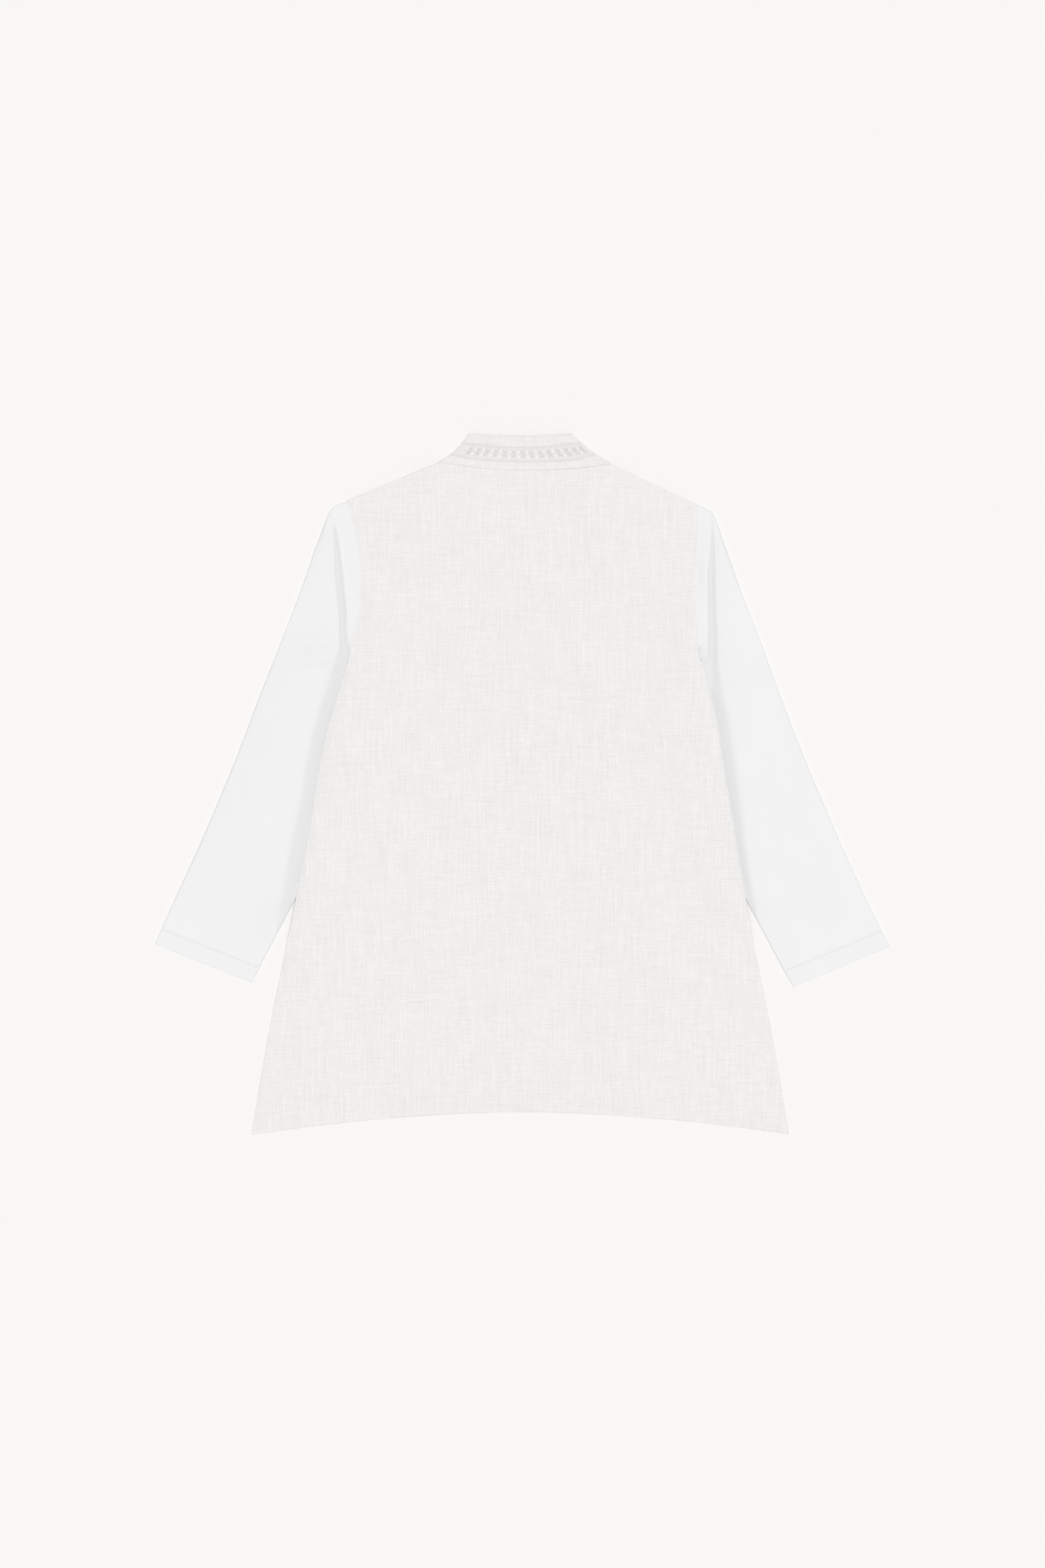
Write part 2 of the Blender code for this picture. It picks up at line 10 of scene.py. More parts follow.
import bpy
import numpy as np
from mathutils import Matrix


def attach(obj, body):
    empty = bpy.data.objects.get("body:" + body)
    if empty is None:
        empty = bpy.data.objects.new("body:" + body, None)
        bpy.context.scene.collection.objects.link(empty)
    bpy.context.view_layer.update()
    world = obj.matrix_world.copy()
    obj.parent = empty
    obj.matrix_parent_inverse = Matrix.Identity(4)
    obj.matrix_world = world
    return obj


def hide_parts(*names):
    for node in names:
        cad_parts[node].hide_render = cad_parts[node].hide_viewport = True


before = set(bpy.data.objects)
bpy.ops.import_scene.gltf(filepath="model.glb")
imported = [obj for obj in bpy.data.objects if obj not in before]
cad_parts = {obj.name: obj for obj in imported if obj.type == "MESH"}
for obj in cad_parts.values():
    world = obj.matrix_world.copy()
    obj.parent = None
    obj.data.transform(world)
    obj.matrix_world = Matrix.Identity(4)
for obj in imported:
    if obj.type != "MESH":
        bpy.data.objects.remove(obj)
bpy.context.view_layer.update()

MM = 0.001

# Heights of the solids that the shells lie on
SOLID_CLOTH = 1.2
GAP = 0.3
TRIM_SOLID = 1.0
SLEEVE_FLAT = 2 * SOLID_CLOTH + GAP
SLEEVE_LIFT = SLEEVE_FLAT + GAP
BAND_LIFT = TRIM_SOLID + GAP
PANEL_TOP = 2 * SOLID_CLOTH + GAP

# The real cloth
LINEN_CLOTH = 0.7
JERSEY_CLOTH = 0.6
RIBBON_CLOTH = 0.35

# The part's own sizes and tables
NECK_LEFT = (-95.0, 369.0)
NECK_RIGHT = (100.0, 367.0)
BACK_NECK_DROP = 7.8
FRONT_NECK_DROP = 80.0
FRONT_SLIT_END = 108.0
FRONT_SLIT_WIDTH = 1.5
COLLAR_TOP_LEFT = (-60.0, 401.5)
COLLAR_TOP_RIGHT = (55.3, 401.5)
COLLAR_TOP_DIP = 2.5
COLLAR_FRONT_DROP = 75.0
COLLAR_BOW_LEFT = (2.1, -3.4)
COLLAR_BOW_RIGHT = (-1.4, -2.0)
COLLAR_BOW_REACH = 0.12
BAND_UPPER = (0.24, 0.325)
BAND_LOWER = (0.645, 0.76)
BAND_TURN = (2.6, 6.0)
HEM_MIDDLE = -376.5
HEM_DROP = 26.0
HEM_POWER = 1.8
SIDE_CROWDING = 2.0
CROWDING_POWER = 4
HEM_BLEND = 6
SHOULDER_LEFT = (-202.5, 325.0)
SHOULDER_RIGHT = (200.5, 321.0)
MEETING_LEVEL = 141.0
HEM_LEVEL = HEM_MIDDLE - HEM_DROP


def table(columns, *rows):
    """A table whose rows have these named columns."""
    return [namedtuple("Row", columns)(*row) for row in rows]


BODY_EDGES = table(
    "y left right",
    (325, -202.5, 200.5),
    (295, -193, 200.5),
    (250, -187, 198.8),
    (206, -188, 199),
    (165, -195, 201.5),
    (MEETING_LEVEL, -200.5, 206),
    (100, -213, 217),
    (67, -223, 224),
    (36, -230.5, 228),
    (-37, -242, 240),
    (-80, -250, 247),
    (-126, -259, 255),
    (-200, -274, 269),
    (-290, -292, 287),
    (HEM_LEVEL, -311, 306),
)
SLEEVE_SECTIONS = table(
    "outer_left inner_left outer_right inner_right",
    ((-202.5, 324), (-195, 70), (201, 320), (197, 68)),
    ((-217.5, 317), (-197, 54), (216.5, 313), (199, 52)),
    ((-234, 280), (-199.5, 37), (230.5, 279), (201.5, 35)),
    ((-255, 220), (-206.5, 2), (252, 219), (208, 0)),
    ((-278, 160), (-217, -34), (275, 159), (218, -36)),
    ((-302, 100), (-230, -69), (297, 99), (231, -72)),
    ((-324.5, 40), (-245, -102), (320, 39), (245, -108)),
    ((-349, -20), (-263, -136), (345, -21), (261, -141)),
    ((-375, -80), (-281, -170), (371, -81), (279, -174)),
    ((-402.5, -140), (-298.5, -204), (399, -141), (297, -208)),
    ((-422, -184), (-311, -228), (422, -187), (311, -233)),
)
ARMHOLE_FADE = 1.6
BODY_PUFF = 0.9
BODY_PUFF_REACH = 60.0
SLEEVE_SWELL = 1.0
SWELL_POWER = 1.7
SWELL_CUFF = (12.0, 110.0)
SWELL_START = 12.0
VALLEY_SLOPES = (0.34, 0.3)
VALLEY_ROUND = (0.12, 0.35)
VALLEY_LEVELS = (160.0, 115.0)
FLOOR_REACH = 45.0
NARROWEST_SLOPE = 0.05
NARROWEST_STRIP = 0.5
LIP_REACH = 8.0
LIFT_FLAT = 17.0
LIFT_SLOPE = 34.0
LIFT_START = 262.0
LIFT_END = -138.0
LIFT_END_RATE = 0.55
NECK_CENTRE = (2.5, 345.0)
NECK_REACH = (107.0, 63.0)
NECK_SLOPE = 0.45
VALLEY_COLUMNS = "y centre inner outer floor"
LEFT_VALLEY = table(
    VALLEY_COLUMNS,
    (298, 22.5, 0.4, 0.4, 0),
    (288, 23.7, 2.2, 2.2, 0),
    (260, 25, 4, 4, 0),
    (240, 23.8, 5, 5, 0),
    (200, 18.3, 5, 5, 0.2),
    (180, 14.5, 4.6, 4.6, 0.5),
    (160, 8.5, 4.5, 6, 0.8),
    (148, 3, 2.5, 12, 0.4),
    (136, 0, 0.5, 18, 0),
    (0, 0, 0.5, 20, 0),
    (-60, 0, 0.5, 23, 0),
    (-80, 0, 0.5, 24, 0),
    (-130, 0, 0.5, 22, 0),
    (-155, 0, 0.5, 19, 0),
    (-190, 0, 0.5, 10, 0),
    (-240, 0, 0.5, 2, 0),
)
RIGHT_VALLEY = table(
    VALLEY_COLUMNS,
    (302, 17, 0.6, 0.6, 0),
    (280, 18, 2, 2, 0),
    (260, 18.8, 3.5, 3.5, 0),
    (240, 18, 5, 5, 0),
    (200, 18.3, 5, 5, 0.2),
    (180, 18, 5.5, 5.5, 0.3),
    (160, 16, 6, 6, 0.2),
    (141, 12, 6, 6.5, -0.4),
    (120, 7, 5, 8, -0.9),
    (104, 1, 1, 13, -0.2),
    (96, 0, 0.5, 15, 0),
    (0, 0, 0.5, 16, 0),
    (-60, 0, 0.5, 11, 0),
    (-120, 0, 0.5, 9.5, 0),
    (-160, 0, 0.5, 9, 0),
    (-240, 0, 0.5, 2, 0),
)
LEFT_STRIP_FADE = (160.0, 138.0)
RIGHT_STRIP_FADE = (MEETING_LEVEL, 117.0)

# How finely the shells are divided
EDGE_STEPS = (0, 0.35, 0.8, 1.3, 2.0, 3.0, 4.4)
PANEL_PITCH = 3.6
FRONT_PITCH = 7.0

# Soft shapes of the real cloth: rolled edges, edges that come down, turned seams and a wavy hem
EDGE_ROLL = 0.3
SEAM_ROLL = 0.06
NECK_ROLL = 0.4
UNDER_ROLL_SHARE = 0.3
CUFF_ROLL_SHARE = 0.5
Drop = namedtuple("Drop", "depth reach")
SIDE_DROP = Drop(1.1, 10.0)
HEM_DROP_DOWN = Drop(1.0, 22.0)
EDGE_REST = Drop(0.75, 7.0)
CUFF_DROP_DOWN = Drop(1.5, 24.0)
EDGE_PRESS = Drop(0.5, 5.0)
PRESS_FLAT = 1.0
PRESS_START = 18.0
PRESS_LENGTH = 12.0
PRESS_INSIDE = 8.0
DROP_MOST = 1.15
REST_FROM = 1.5
Ridge = namedtuple("Ridge", "place width height")
SEAM_RIDGE = Ridge(5.5, 1.3, 0.3)
SEAM_FADE = (10.0, 12.0)
HEM_TURN = Ridge(8.0, 1.0, 0.25)
HEM_TURN_FADE = 6.0
HEM_PUFF = 0.15
HEM_WAVES = table("height length start", (0.2, 21.0, 0.0), (0.12, 9.3, 1.0))
HEM_WAVE_FADE = (1.5, 16.0)
FRONT_CLOTH_SHIFT = 900.0
COLLAR_CLOTH_SHIFT = 500.0
SHARP_ANGLE = 50


def soft_step(t):
    """0 below 0, 1 above 1, and a smooth rise between."""
    t = np.clip(t, 0.0, 1.0)
    return t * t * (3 - 2 * t)


def mix(ends, t):
    """A value between two ends, at a share of the way."""
    return ends[0] + (ends[1] - ends[0]) * t


def soft_between(ends, value):
    """0 at the first end, 1 at the second, and a smooth change between."""
    return soft_step((value - ends[0]) / (ends[1] - ends[0]))


def smooth_table(places, values, at):
    """A smooth curve through a table, by cubic pieces that don't overshoot."""
    places, values, at = (np.asarray(item, float) for item in (places, values, at))
    slopes = np.diff(values) / np.diff(places)
    before, after = slopes[:-1], slopes[1:]
    same_way = before * after > 0
    inner = np.where(same_way, 2 * before * after / np.where(same_way, before + after, 1.0), 0.0)
    tangents = np.concatenate([slopes[:1], inner, slopes[-1:]])
    at = np.clip(at, places[0], places[-1])
    i = np.clip(np.searchsorted(places, at, side="right") - 1, 0, len(places) - 2)
    width = places[i + 1] - places[i]
    t = (at - places[i]) / width
    return (
        values[i] * (1 + 2 * t) * (1 - t) ** 2
        + values[i + 1] * t * t * (3 - 2 * t)
        + width * (tangents[i] * t * (1 - t) ** 2 - tangents[i + 1] * t * t * (1 - t))
    )


def body_edge(side, y):
    """How far from the middle line the body's edge lies. side is -1 left, 1 right, or an array."""
    levels, left, right = zip(*BODY_EDGES[::-1])
    return np.where(np.asarray(side) < 0, -smooth_table(levels, left, y), smooth_table(levels, right, y))


def fold_points(side, place):
    """The sleeve's 'outer' or 'inner' fold, one point for each section."""
    name = place + ("_left" if side < 0 else "_right")
    return [getattr(section, name) for section in SLEEVE_SECTIONS]


def sleeve_end(side, place, at):
    """Points on a fold of the sleeve, at section numbers that may lie between two rows."""
    points = fold_points(side, place)
    numbers = range(len(points))
    return np.stack([smooth_table(numbers, column, at) for column in zip(*points)], axis=-1)


def covered_edge(side, y):
    """How far from the middle line the sleeve starts at these levels."""
    x, levels = np.array(fold_points(side, "inner")[::-1]).T
    past_cuff = np.abs(x[0] + (y - levels[0]) * (x[0] - x[1]) / (levels[0] - levels[1]))
    reach = np.append(np.abs(x), body_edge(side, MEETING_LEVEL))
    found = np.where(y < levels[0], past_cuff, np.interp(y, np.append(levels, MEETING_LEVEL), reach))
    return np.where(y >= MEETING_LEVEL, body_edge(side, y), found)


def below_meeting(y, reach=12.0):
    """0 above the level where the sleeve's seam ends and 1 below it, with a soft change between."""
    return soft_step((MEETING_LEVEL + reach - y) / (2 * reach))


def rise(x, y):
    """How high the underside of the lower panel lies, over the sleeves and the collar's front half."""
    covered = np.where(x < 0, covered_edge(-1, y), covered_edge(1, y))
    inwards = covered - np.abs(x) + LIFT_END_RATE * np.maximum(0.0, LIFT_END - y)
    over_sleeve = SLEEVE_LIFT * (1 - soft_step((inwards - LIFT_FLAT) / LIFT_SLOPE))
    over_sleeve = over_sleeve * soft_between((LIFT_START, MEETING_LEVEL), y)
    away = np.hypot((x - NECK_CENTRE[0]) / NECK_REACH[0], (y - NECK_CENTRE[1]) / NECK_REACH[1])
    over_collar = BAND_LIFT * (1 - soft_step((away - 1) / NECK_SLOPE))
    return np.maximum(over_sleeve, over_collar)


def hem_level(x):
    half_width = -BODY_EDGES[-1].left
    return HEM_MIDDLE - HEM_DROP * np.minimum(np.abs(x) / half_width, 1) ** HEM_POWER


def edge_spaced(length, pitch, first=True, last=True):
    """Places from 0 to length, close together at an edge that rolls, and a pitch apart between."""
    start = list(EDGE_STEPS) if first else [0.0]
    end = [length - step for step in EDGE_STEPS[::-1]] if last else [length]
    count = max(1, round((end[0] - start[-1]) / pitch))
    return np.array(start + list(np.linspace(start[-1], end[0], count + 1)[1:-1]) + end)


def grid(*parts):
    """Points from their coordinates, each an array or a number."""
    return np.stack(np.broadcast_arrays(*parts), axis=-1)


def dipping_line(left, right, dip, t):
    """Points between two corners, on a line that dips in the middle."""
    x, y = (mix(ends, t) for ends in zip(left, right))
    return grid(x, y - dip * 4 * t * (1 - t))


def half_ellipse(left, right, drop, t):
    """Points between two corners, on a curve that leaves each of them straight down."""
    x = mix((left[0], right[0]), (1 - np.cos(math.pi * t)) / 2)
    return grid(x, mix((left[1], right[1]), t) - drop * np.sin(math.pi * t))


def back_neck(t):
    return dipping_line(NECK_LEFT, NECK_RIGHT, BACK_NECK_DROP, t)


def front_neck(t, inset=0.0):
    left, right = (NECK_LEFT[0] + inset, NECK_LEFT[1]), (NECK_RIGHT[0] - inset, NECK_RIGHT[1])
    return half_ellipse(left, right, FRONT_NECK_DROP - inset, t)


def neck_shares(pitch, slit):
    """Places along the neckline, 0 to 1. With a slit, its two sides take the place of the middle."""
    count = 2 * round((NECK_RIGHT[0] - NECK_LEFT[0]) / pitch / 2)
    shares = list(np.linspace(0, 1, count + 1))
    if slit:
        half_slit = FRONT_SLIT_WIDTH / 2 / (math.pi * (NECK_RIGHT[0] - NECK_LEFT[0]) / 2)
        shares[count // 2 : count // 2 + 1] = [0.5 - half_slit, 0.5 + half_slit]
    return np.array(shares)


def panel_plan(neckline, pitch, slit):
    """A panel's points in plan, row by row, and how far each point lies from the panel's nearest edge."""
    places = edge_spaced(math.dist(NECK_LEFT, SHOULDER_LEFT), pitch, last=False)
    shares = (places / places[-1])[:, None]
    shoulder_left = mix(np.array((SHOULDER_LEFT, NECK_LEFT)), shares)
    shoulder_right = mix(np.array((SHOULDER_RIGHT, NECK_RIGHT)), shares)
    neck = neckline(neck_shares(pitch, slit))
    top = np.concatenate([shoulder_left[:-1], neck, shoulder_right[-2::-1]])
    across = (top[:, 0] - SHOULDER_LEFT[0]) / (SHOULDER_RIGHT[0] - SHOULDER_LEFT[0])
    armhole = edge_spaced(SHOULDER_LEFT[1] - MEETING_LEVEL, pitch, last=False)
    armhole = armhole / armhole[-1]
    below = MEETING_LEVEL - edge_spaced(MEETING_LEVEL - HEM_LEVEL, pitch, first=False)
    sides = []
    for side, tip in ((-1, SHOULDER_LEFT), (1, SHOULDER_RIGHT)):
        levels = np.concatenate([mix((tip[1], MEETING_LEVEL), armhole), below[1:]])
        sides.append(grid(side * body_edge(side, levels), levels))
    left, right = sides
    down = (left[0, 1] - left[:, 1]) / (left[0, 1] - left[-1, 1])
    straight_top = left[0] + np.outer(across, right[0] - left[0])
    straight_hem = left[-1] + np.outer(across, right[-1] - left[-1])
    plan = mix((left[:, None], right[:, None]), across[None, :, None])
    power = 1 + SIDE_CROWDING * (1 - down)[:, None] ** CROWDING_POWER
    plan[..., 0] += (left[:, :1] - left[0, 0]) * ((1 - across) ** power - (1 - across))
    plan[..., 0] += (right[:, :1] - right[0, 0]) * (across**power - across)
    plan += (1 - down)[:, None, None] * (top - straight_top)[None]
    plan[..., 1] += (down**HEM_BLEND)[:, None] * (hem_level(straight_hem[:, 0]) - straight_hem[:, 1])[None]
    return plan, top


def lengths_along(points, axis=0):
    """How far along a path, or along one way of a grid, each point lies."""
    steps = np.diff(points, axis=axis, prepend=np.take(points, [0], axis))
    return np.linalg.norm(steps, axis=-1).cumsum(axis=axis)


def edge_roll(distance, radius=EDGE_ROLL):
    """How far a surface drops as it rolls over an edge this far away."""
    inside = np.clip(radius - distance, 0.0, radius)
    return radius - np.sqrt(np.maximum(radius**2 - inside**2, 0.0))


def edge_drop(distance, drop):
    """How far a surface comes down this far from an edge."""
    return drop.depth * (1 - soft_step(distance / drop.reach))


def ridge(distance, line):
    return line.height * np.exp(-(((distance - line.place) / line.width) ** 2))


def normals(points, around=False):
    """Unit normals of a grid of points, by the slopes between neighbours."""
    down = np.gradient(points, axis=0)
    if around:
        right = (np.roll(points, -1, axis=1) - np.roll(points, 1, axis=1)) / 2
    else:
        right = np.gradient(points, axis=1)
    found = np.cross(down, right)
    return found / np.maximum(np.linalg.norm(found, axis=-1, keepdims=True), 1e-9)


def new_object(name, points, faces, cloth, replaced=None):
    """A mesh object from points in millimetres, with each point's place on the flat cloth as an attribute."""
    mesh = bpy.data.meshes.new(name)
    mesh.from_pydata((np.asarray(points) * MM).tolist(), [], faces)
    mesh.shade_smooth()
    mesh.set_sharp_from_angle(angle=math.radians(SHARP_ANGLE))
    layer = mesh.attributes.new("cloth", "FLOAT_VECTOR", "POINT")
    layer.data.foreach_set("vector", np.asarray(cloth, np.float32).ravel())
    thing = stand(name, mesh)
    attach(thing, "root")
    if replaced:
        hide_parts(replaced)
    return thing


def shell_faces(rows, columns, around=False, missing=()):
    """Faces of a closed thin wall between two grids, the outer grid's points first."""
    behind = rows * columns
    faces = []
    edges = set()
    for i in range(rows - 1):
        for j in range(columns if around else columns - 1):
            if (i, j) in missing:
                continue
            k = (j + 1) % columns
            a, b, c, d = i * columns + j, (i + 1) * columns + j, (i + 1) * columns + k, i * columns + k
            faces.append((a, b, c, d))
            faces.append((behind + d, behind + c, behind + b, behind + a))
            edges.update([(a, b), (b, c), (c, d), (d, a)])
    for a, b in sorted(edges):
        if (b, a) not in edges:
            faces.append((b, a, behind + a, behind + b))
    return faces


def cloth_shell(name, outer, cloth, thickness, replaced, flip=None, around=False, missing=()):
    """A closed thin shell with this grid as its outer side, and the grid's area in square metres."""
    area = strip_area(np.concatenate([outer, outer[:, :1]], axis=1) if around else outer)
    if flip is not None:
        outer, cloth = np.flip(outer, flip), np.flip(cloth, flip)
    inner = outer - normals(outer, around) * thickness
    if around:
        inner[..., 2] = np.maximum(inner[..., 2], thickness)
    rows, columns = outer.shape[:2]
    points = np.concatenate([outer.reshape(-1, 3), inner.reshape(-1, 3)])
    places = np.concatenate([cloth.reshape(-1, 3)] * 2)
    faces = shell_faces(rows, columns, around, missing)
    used = sorted({corner for face in faces for corner in face})
    if len(used) < len(points):
        number = {old: new for new, old in enumerate(used)}
        faces = [[number[corner] for corner in face] for face in faces]
        points, places = points[used], places[used]
    return new_object(name, points, faces, places, replaced), area


def strip_area(points):
    """The area of a grid of points, in square metres."""
    down = np.diff(points, axis=0)[:, :-1]
    right = np.diff(points, axis=1)[:-1]
    return float(np.linalg.norm(np.cross(down, right), axis=-1).sum() * MM * MM)


BODY_PUCKERS = table(
    "x y angle length width height",
    (60, 361, 4, 26, 2.2, -0.45),
    (-70, 358, -6, 20, 2.5, -0.25),
    (-115, -366, 62, 8, 3.0, -1.6),
    (-108, -372, 62, 7, 2.5, 0.9),
    (-193, -382, 70, 8, 2.5, -0.7),
    (-150, -378, 8, 22, 3.0, 0.5),
    (-60, -369, 4, 26, 3.0, 0.35),
    (46, -369, -4, 24, 3.0, 0.3),
    (128, -376, -10, 20, 3.0, 0.4),
    (206, -384, -14, 16, 3.0, -0.4),
    (-172, 186, 78, 30, 5.0, 0.5),
    (176, 180, -78, 30, 5.0, 0.5),
    (-215, 60, 68, 34, 5.0, 0.4),
    (214, 40, -70, 34, 5.0, 0.4),
)


def puckers(rows, x, y):
    """The height that a table of long soft ridges and troughs adds at these points."""
    total = np.zeros_like(x)
    for item in rows:
        turn = math.radians(item.angle)
        along = (x - item.x) * math.cos(turn) + (y - item.y) * math.sin(turn)
        aside = -(x - item.x) * math.sin(turn) + (y - item.y) * math.cos(turn)
        total += item.height * np.exp(-((along / item.length) ** 2) - (aside / item.width) ** 2)
    return total


def panel_distances(x, y, top):
    """How far each point of a panel lies from the side edge, the hem and the top edge."""
    side = np.where(x < 0, -1, 1)
    from_side = body_edge(side, np.minimum(y, SHOULDER_RIGHT[1])) - np.abs(x)
    return np.maximum(from_side, 0), np.maximum(y - hem_level(x), 0), np.maximum(top[None, :, 1] - y, 0)


def edge_rest(x, y, from_side):
    """How far both panels come down at a free side that lies on a sleeve."""
    over = soft_step(rise(x, y) - REST_FROM) * below_meeting(y)
    return over * edge_drop(from_side, EDGE_REST)


def make_back_panel():
    plan, top = panel_plan(back_neck, PANEL_PITCH, slit=False)
    x, y = plan[..., 0], plan[..., 1]
    from_side, from_hem, from_top = panel_distances(x, y, top)
    puff = (
        BODY_PUFF
        * soft_step(from_side / BODY_PUFF_REACH)
        * soft_step(HEM_PUFF + from_hem / BODY_PUFF_REACH)
        * soft_step(from_top / BODY_PUFF_REACH)
    )
    free_side = below_meeting(y)
    at_neck = (x > NECK_LEFT[0]) & (x < NECK_RIGHT[0])
    top_roll = np.where(at_neck, NECK_ROLL, EDGE_ROLL)
    side_roll = mix((SEAM_ROLL, EDGE_ROLL), free_side)
    roll = np.maximum(edge_roll(from_side, side_roll), edge_roll(from_top, top_roll))
    roll = np.maximum(roll, edge_roll(from_hem, EDGE_ROLL))
    drop = free_side * edge_drop(from_side, SIDE_DROP) + edge_drop(from_hem, HEM_DROP_DOWN)
    z = rise(x, y) + PANEL_TOP + puff + puckers(BODY_PUCKERS, x, y)
    z -= np.minimum(drop, DROP_MOST) + roll + edge_rest(x, y, from_side)
    sewn = soft_step((y - MEETING_LEVEL) / SEAM_FADE[0] + 1)
    z += ridge(from_side, SEAM_RIDGE) * sewn * soft_step(from_top / SEAM_FADE[1])
    z += ridge(from_hem, HEM_TURN) * soft_step(from_side / HEM_TURN_FADE)
    wave = sum(item.height * np.sin(x / item.length + item.start) for item in HEM_WAVES)
    z += wave * soft_step(from_hem / HEM_WAVE_FADE[0]) * (1 - soft_step(from_hem / HEM_WAVE_FADE[1]))
    return cloth_shell("back_cloth", grid(x, y, z), grid(x, y, 0.0), LINEN_CLOTH, "back_panel")


def make_front_panel():
    plan, top = panel_plan(front_neck, FRONT_PITCH, slit=True)
    x, y = plan[..., 0], plan[..., 1]
    from_side, from_hem, from_top = panel_distances(x, y, top)
    nearest = np.minimum.reduce(np.broadcast_arrays(from_side, from_hem, from_top))
    z = rise(x, y) + UNDER_ROLL_SHARE * edge_roll(nearest) - edge_rest(x, y, from_side)
    outer = grid(x, y, z)
    cloth = grid(x + FRONT_CLOTH_SHIFT, y, 0.0)
    rows, columns = x.shape
    slit_column = int(np.argmin(np.abs(x[0] - (NECK_LEFT[0] + NECK_RIGHT[0] - FRONT_SLIT_WIDTH) / 2)))
    slit_rows = [i for i in range(rows - 1) if y[i, slit_column] > FRONT_SLIT_END]
    slit = {(i, columns - 2 - slit_column) for i in slit_rows}
    return cloth_shell("front_cloth", outer, cloth, LINEN_CLOTH, "front_panel", flip=1, missing=slit)


# Sleeves: rings from the armhole to the cuff, and points across each layer
LAST_RING = len(SLEEVE_SECTIONS) - 1
SLEEVE_RINGS = np.concatenate([np.linspace(0, 3, 76), np.linspace(3, 9.9, 151)[1:], [9.95, 9.98, LAST_RING]])
SLEEVE_POINTS = 140
HIDDEN_POINTS = 24
FOLD_SIDE = 0.7
FOLD_FULLNESS = 0.7
CUFF_PITCH = (48.0, 27.0)
FOLD_STEPS = 8
CUFF_GROOVE = Ridge(20.0, 1.5, 0.06)
CUFF_STITCH = table("length pitch radius arch points", (2.4, 4.2, 0.19, 0.08, 5))[0]
FIRST_STITCH = 1.0


def facet(distance, width, rounding):
    """A ramp from 0 at the crease to 1 a width away, straight but for its rounded top."""
    t = distance / width
    near_top = 1 - (1 + rounding - t) ** 2 / (4 * rounding)
    return np.where(t < 1 - rounding, np.clip(t, 0, None), np.where(t < 1 + rounding, near_top, 1.0))


def outer_fold(side, y):
    """How far from the middle line the sleeve's outer fold lies at these levels."""
    x, levels = np.array(fold_points(side, "outer")[::-1]).T
    slope = np.abs((x[1] - x[0]) / (levels[1] - levels[0]))
    return np.where(y < levels[0], np.abs(x[0]) + (levels[0] - y) * slope, smooth_table(levels, np.abs(x), y))


def sleeve_extra(side, x, y, from_cuff):
    """How far the sleeve's upper layer stands over its flat height: a valley by the body, and a swell."""
    levels, *columns = zip(*(LEFT_VALLEY if side < 0 else RIGHT_VALLEY)[::-1])
    centre, inner, outer, floor = (smooth_table(levels, column, y) for column in columns)
    edge = body_edge(side, y)
    outwards = np.abs(x) - edge
    lower = soft_between(VALLEY_LEVELS, y)
    slope = mix(VALLEY_SLOPES, lower)
    rounding = mix(VALLEY_ROUND, lower)
    start = centre + np.maximum(covered_edge(side, y) - edge, 0)
    width = np.maximum(centre + outer - start, NARROWEST_SLOPE)
    fold = outer_fold(side, y)
    inside = np.clip((fold - np.abs(x)) / (fold - edge - centre - outer), 0, 1)
    before_cuff = soft_between(SWELL_CUFF, from_cuff)
    dome = (1 - (1 - inside) ** SWELL_POWER) * before_cuff
    away = np.maximum(outwards - start, 0)
    outside = floor * (1 - soft_step(away / FLOOR_REACH))
    outside = outside + dome * slope * width * facet(away, width, rounding)
    outside = outside + SLEEVE_SWELL * before_cuff * np.sin(math.pi * inside) * soft_step(away / SWELL_START)
    fade = 1 - soft_between(LEFT_STRIP_FADE if side < 0 else RIGHT_STRIP_FADE, y)
    body_drop = (SIDE_DROP.depth + EDGE_REST.depth) * below_meeting(y)
    seam = np.maximum(rise(side * edge, y) - body_drop, 0) * fade
    lip = floor + slope * inner
    free = below_meeting(y, LIP_REACH)
    lip = mix((lip, np.minimum(lip, 0)), free)
    seam = np.where(y < MEETING_LEVEL, seam * soft_step(outwards / SOLID_CLOTH + 1), seam)
    inwards = np.maximum(centre - outwards, 0)
    blend = soft_step((inwards - inner) / np.maximum(centre - inner, NARROWEST_STRIP))
    within = floor + (lip - floor) * facet(inwards, inner, rounding) + (seam - lip) * blend
    press = edge_drop(np.abs(outwards) - PRESS_FLAT, EDGE_PRESS)
    press = press * soft_step((MEETING_LEVEL - PRESS_START - y) / PRESS_LENGTH)
    press = press * soft_step((np.abs(x) - covered_edge(side, y)) / PRESS_INSIDE)
    return np.where(outwards < centre, within, outside) - press


def sleeve_plan(side, share):
    """The plan of one layer of the sleeve: rings by points across, from the outer to the inner fold."""
    tip = float(sleeve_end(side, "outer", 0)[1])
    corner = sleeve_end(side, "inner", 0)
    level = mix((tip, corner[1]), share)
    meeting = side * float(body_edge(side, MEETING_LEVEL))
    hidden_x = mix((meeting, corner[0]), (MEETING_LEVEL - level) / (MEETING_LEVEL - corner[1]))
    armhole = grid(np.where(level >= MEETING_LEVEL, side * body_edge(side, level), hidden_x), level)
    outer_end = sleeve_end(side, "outer", SLEEVE_RINGS)
    inner_end = sleeve_end(side, "inner", SLEEVE_RINGS)
    chord = mix((outer_end[0], inner_end[0]), share[:, None])
    keep = np.maximum(0.0, 1 - SLEEVE_RINGS / ARMHOLE_FADE) ** 2
    plan = mix((outer_end[:, None], inner_end[:, None]), share[None, :, None])
    plan = plan + keep[:, None, None] * (armhole - chord)[None]
    along = inner_end - outer_end
    along /= np.linalg.norm(along, axis=1, keepdims=True)
    inset = np.where(SLEEVE_RINGS > 0, FOLD_SIDE, 0.0)[:, None] * along
    plan[:, 0] += inset
    plan[:, -1] -= inset
    return plan, along


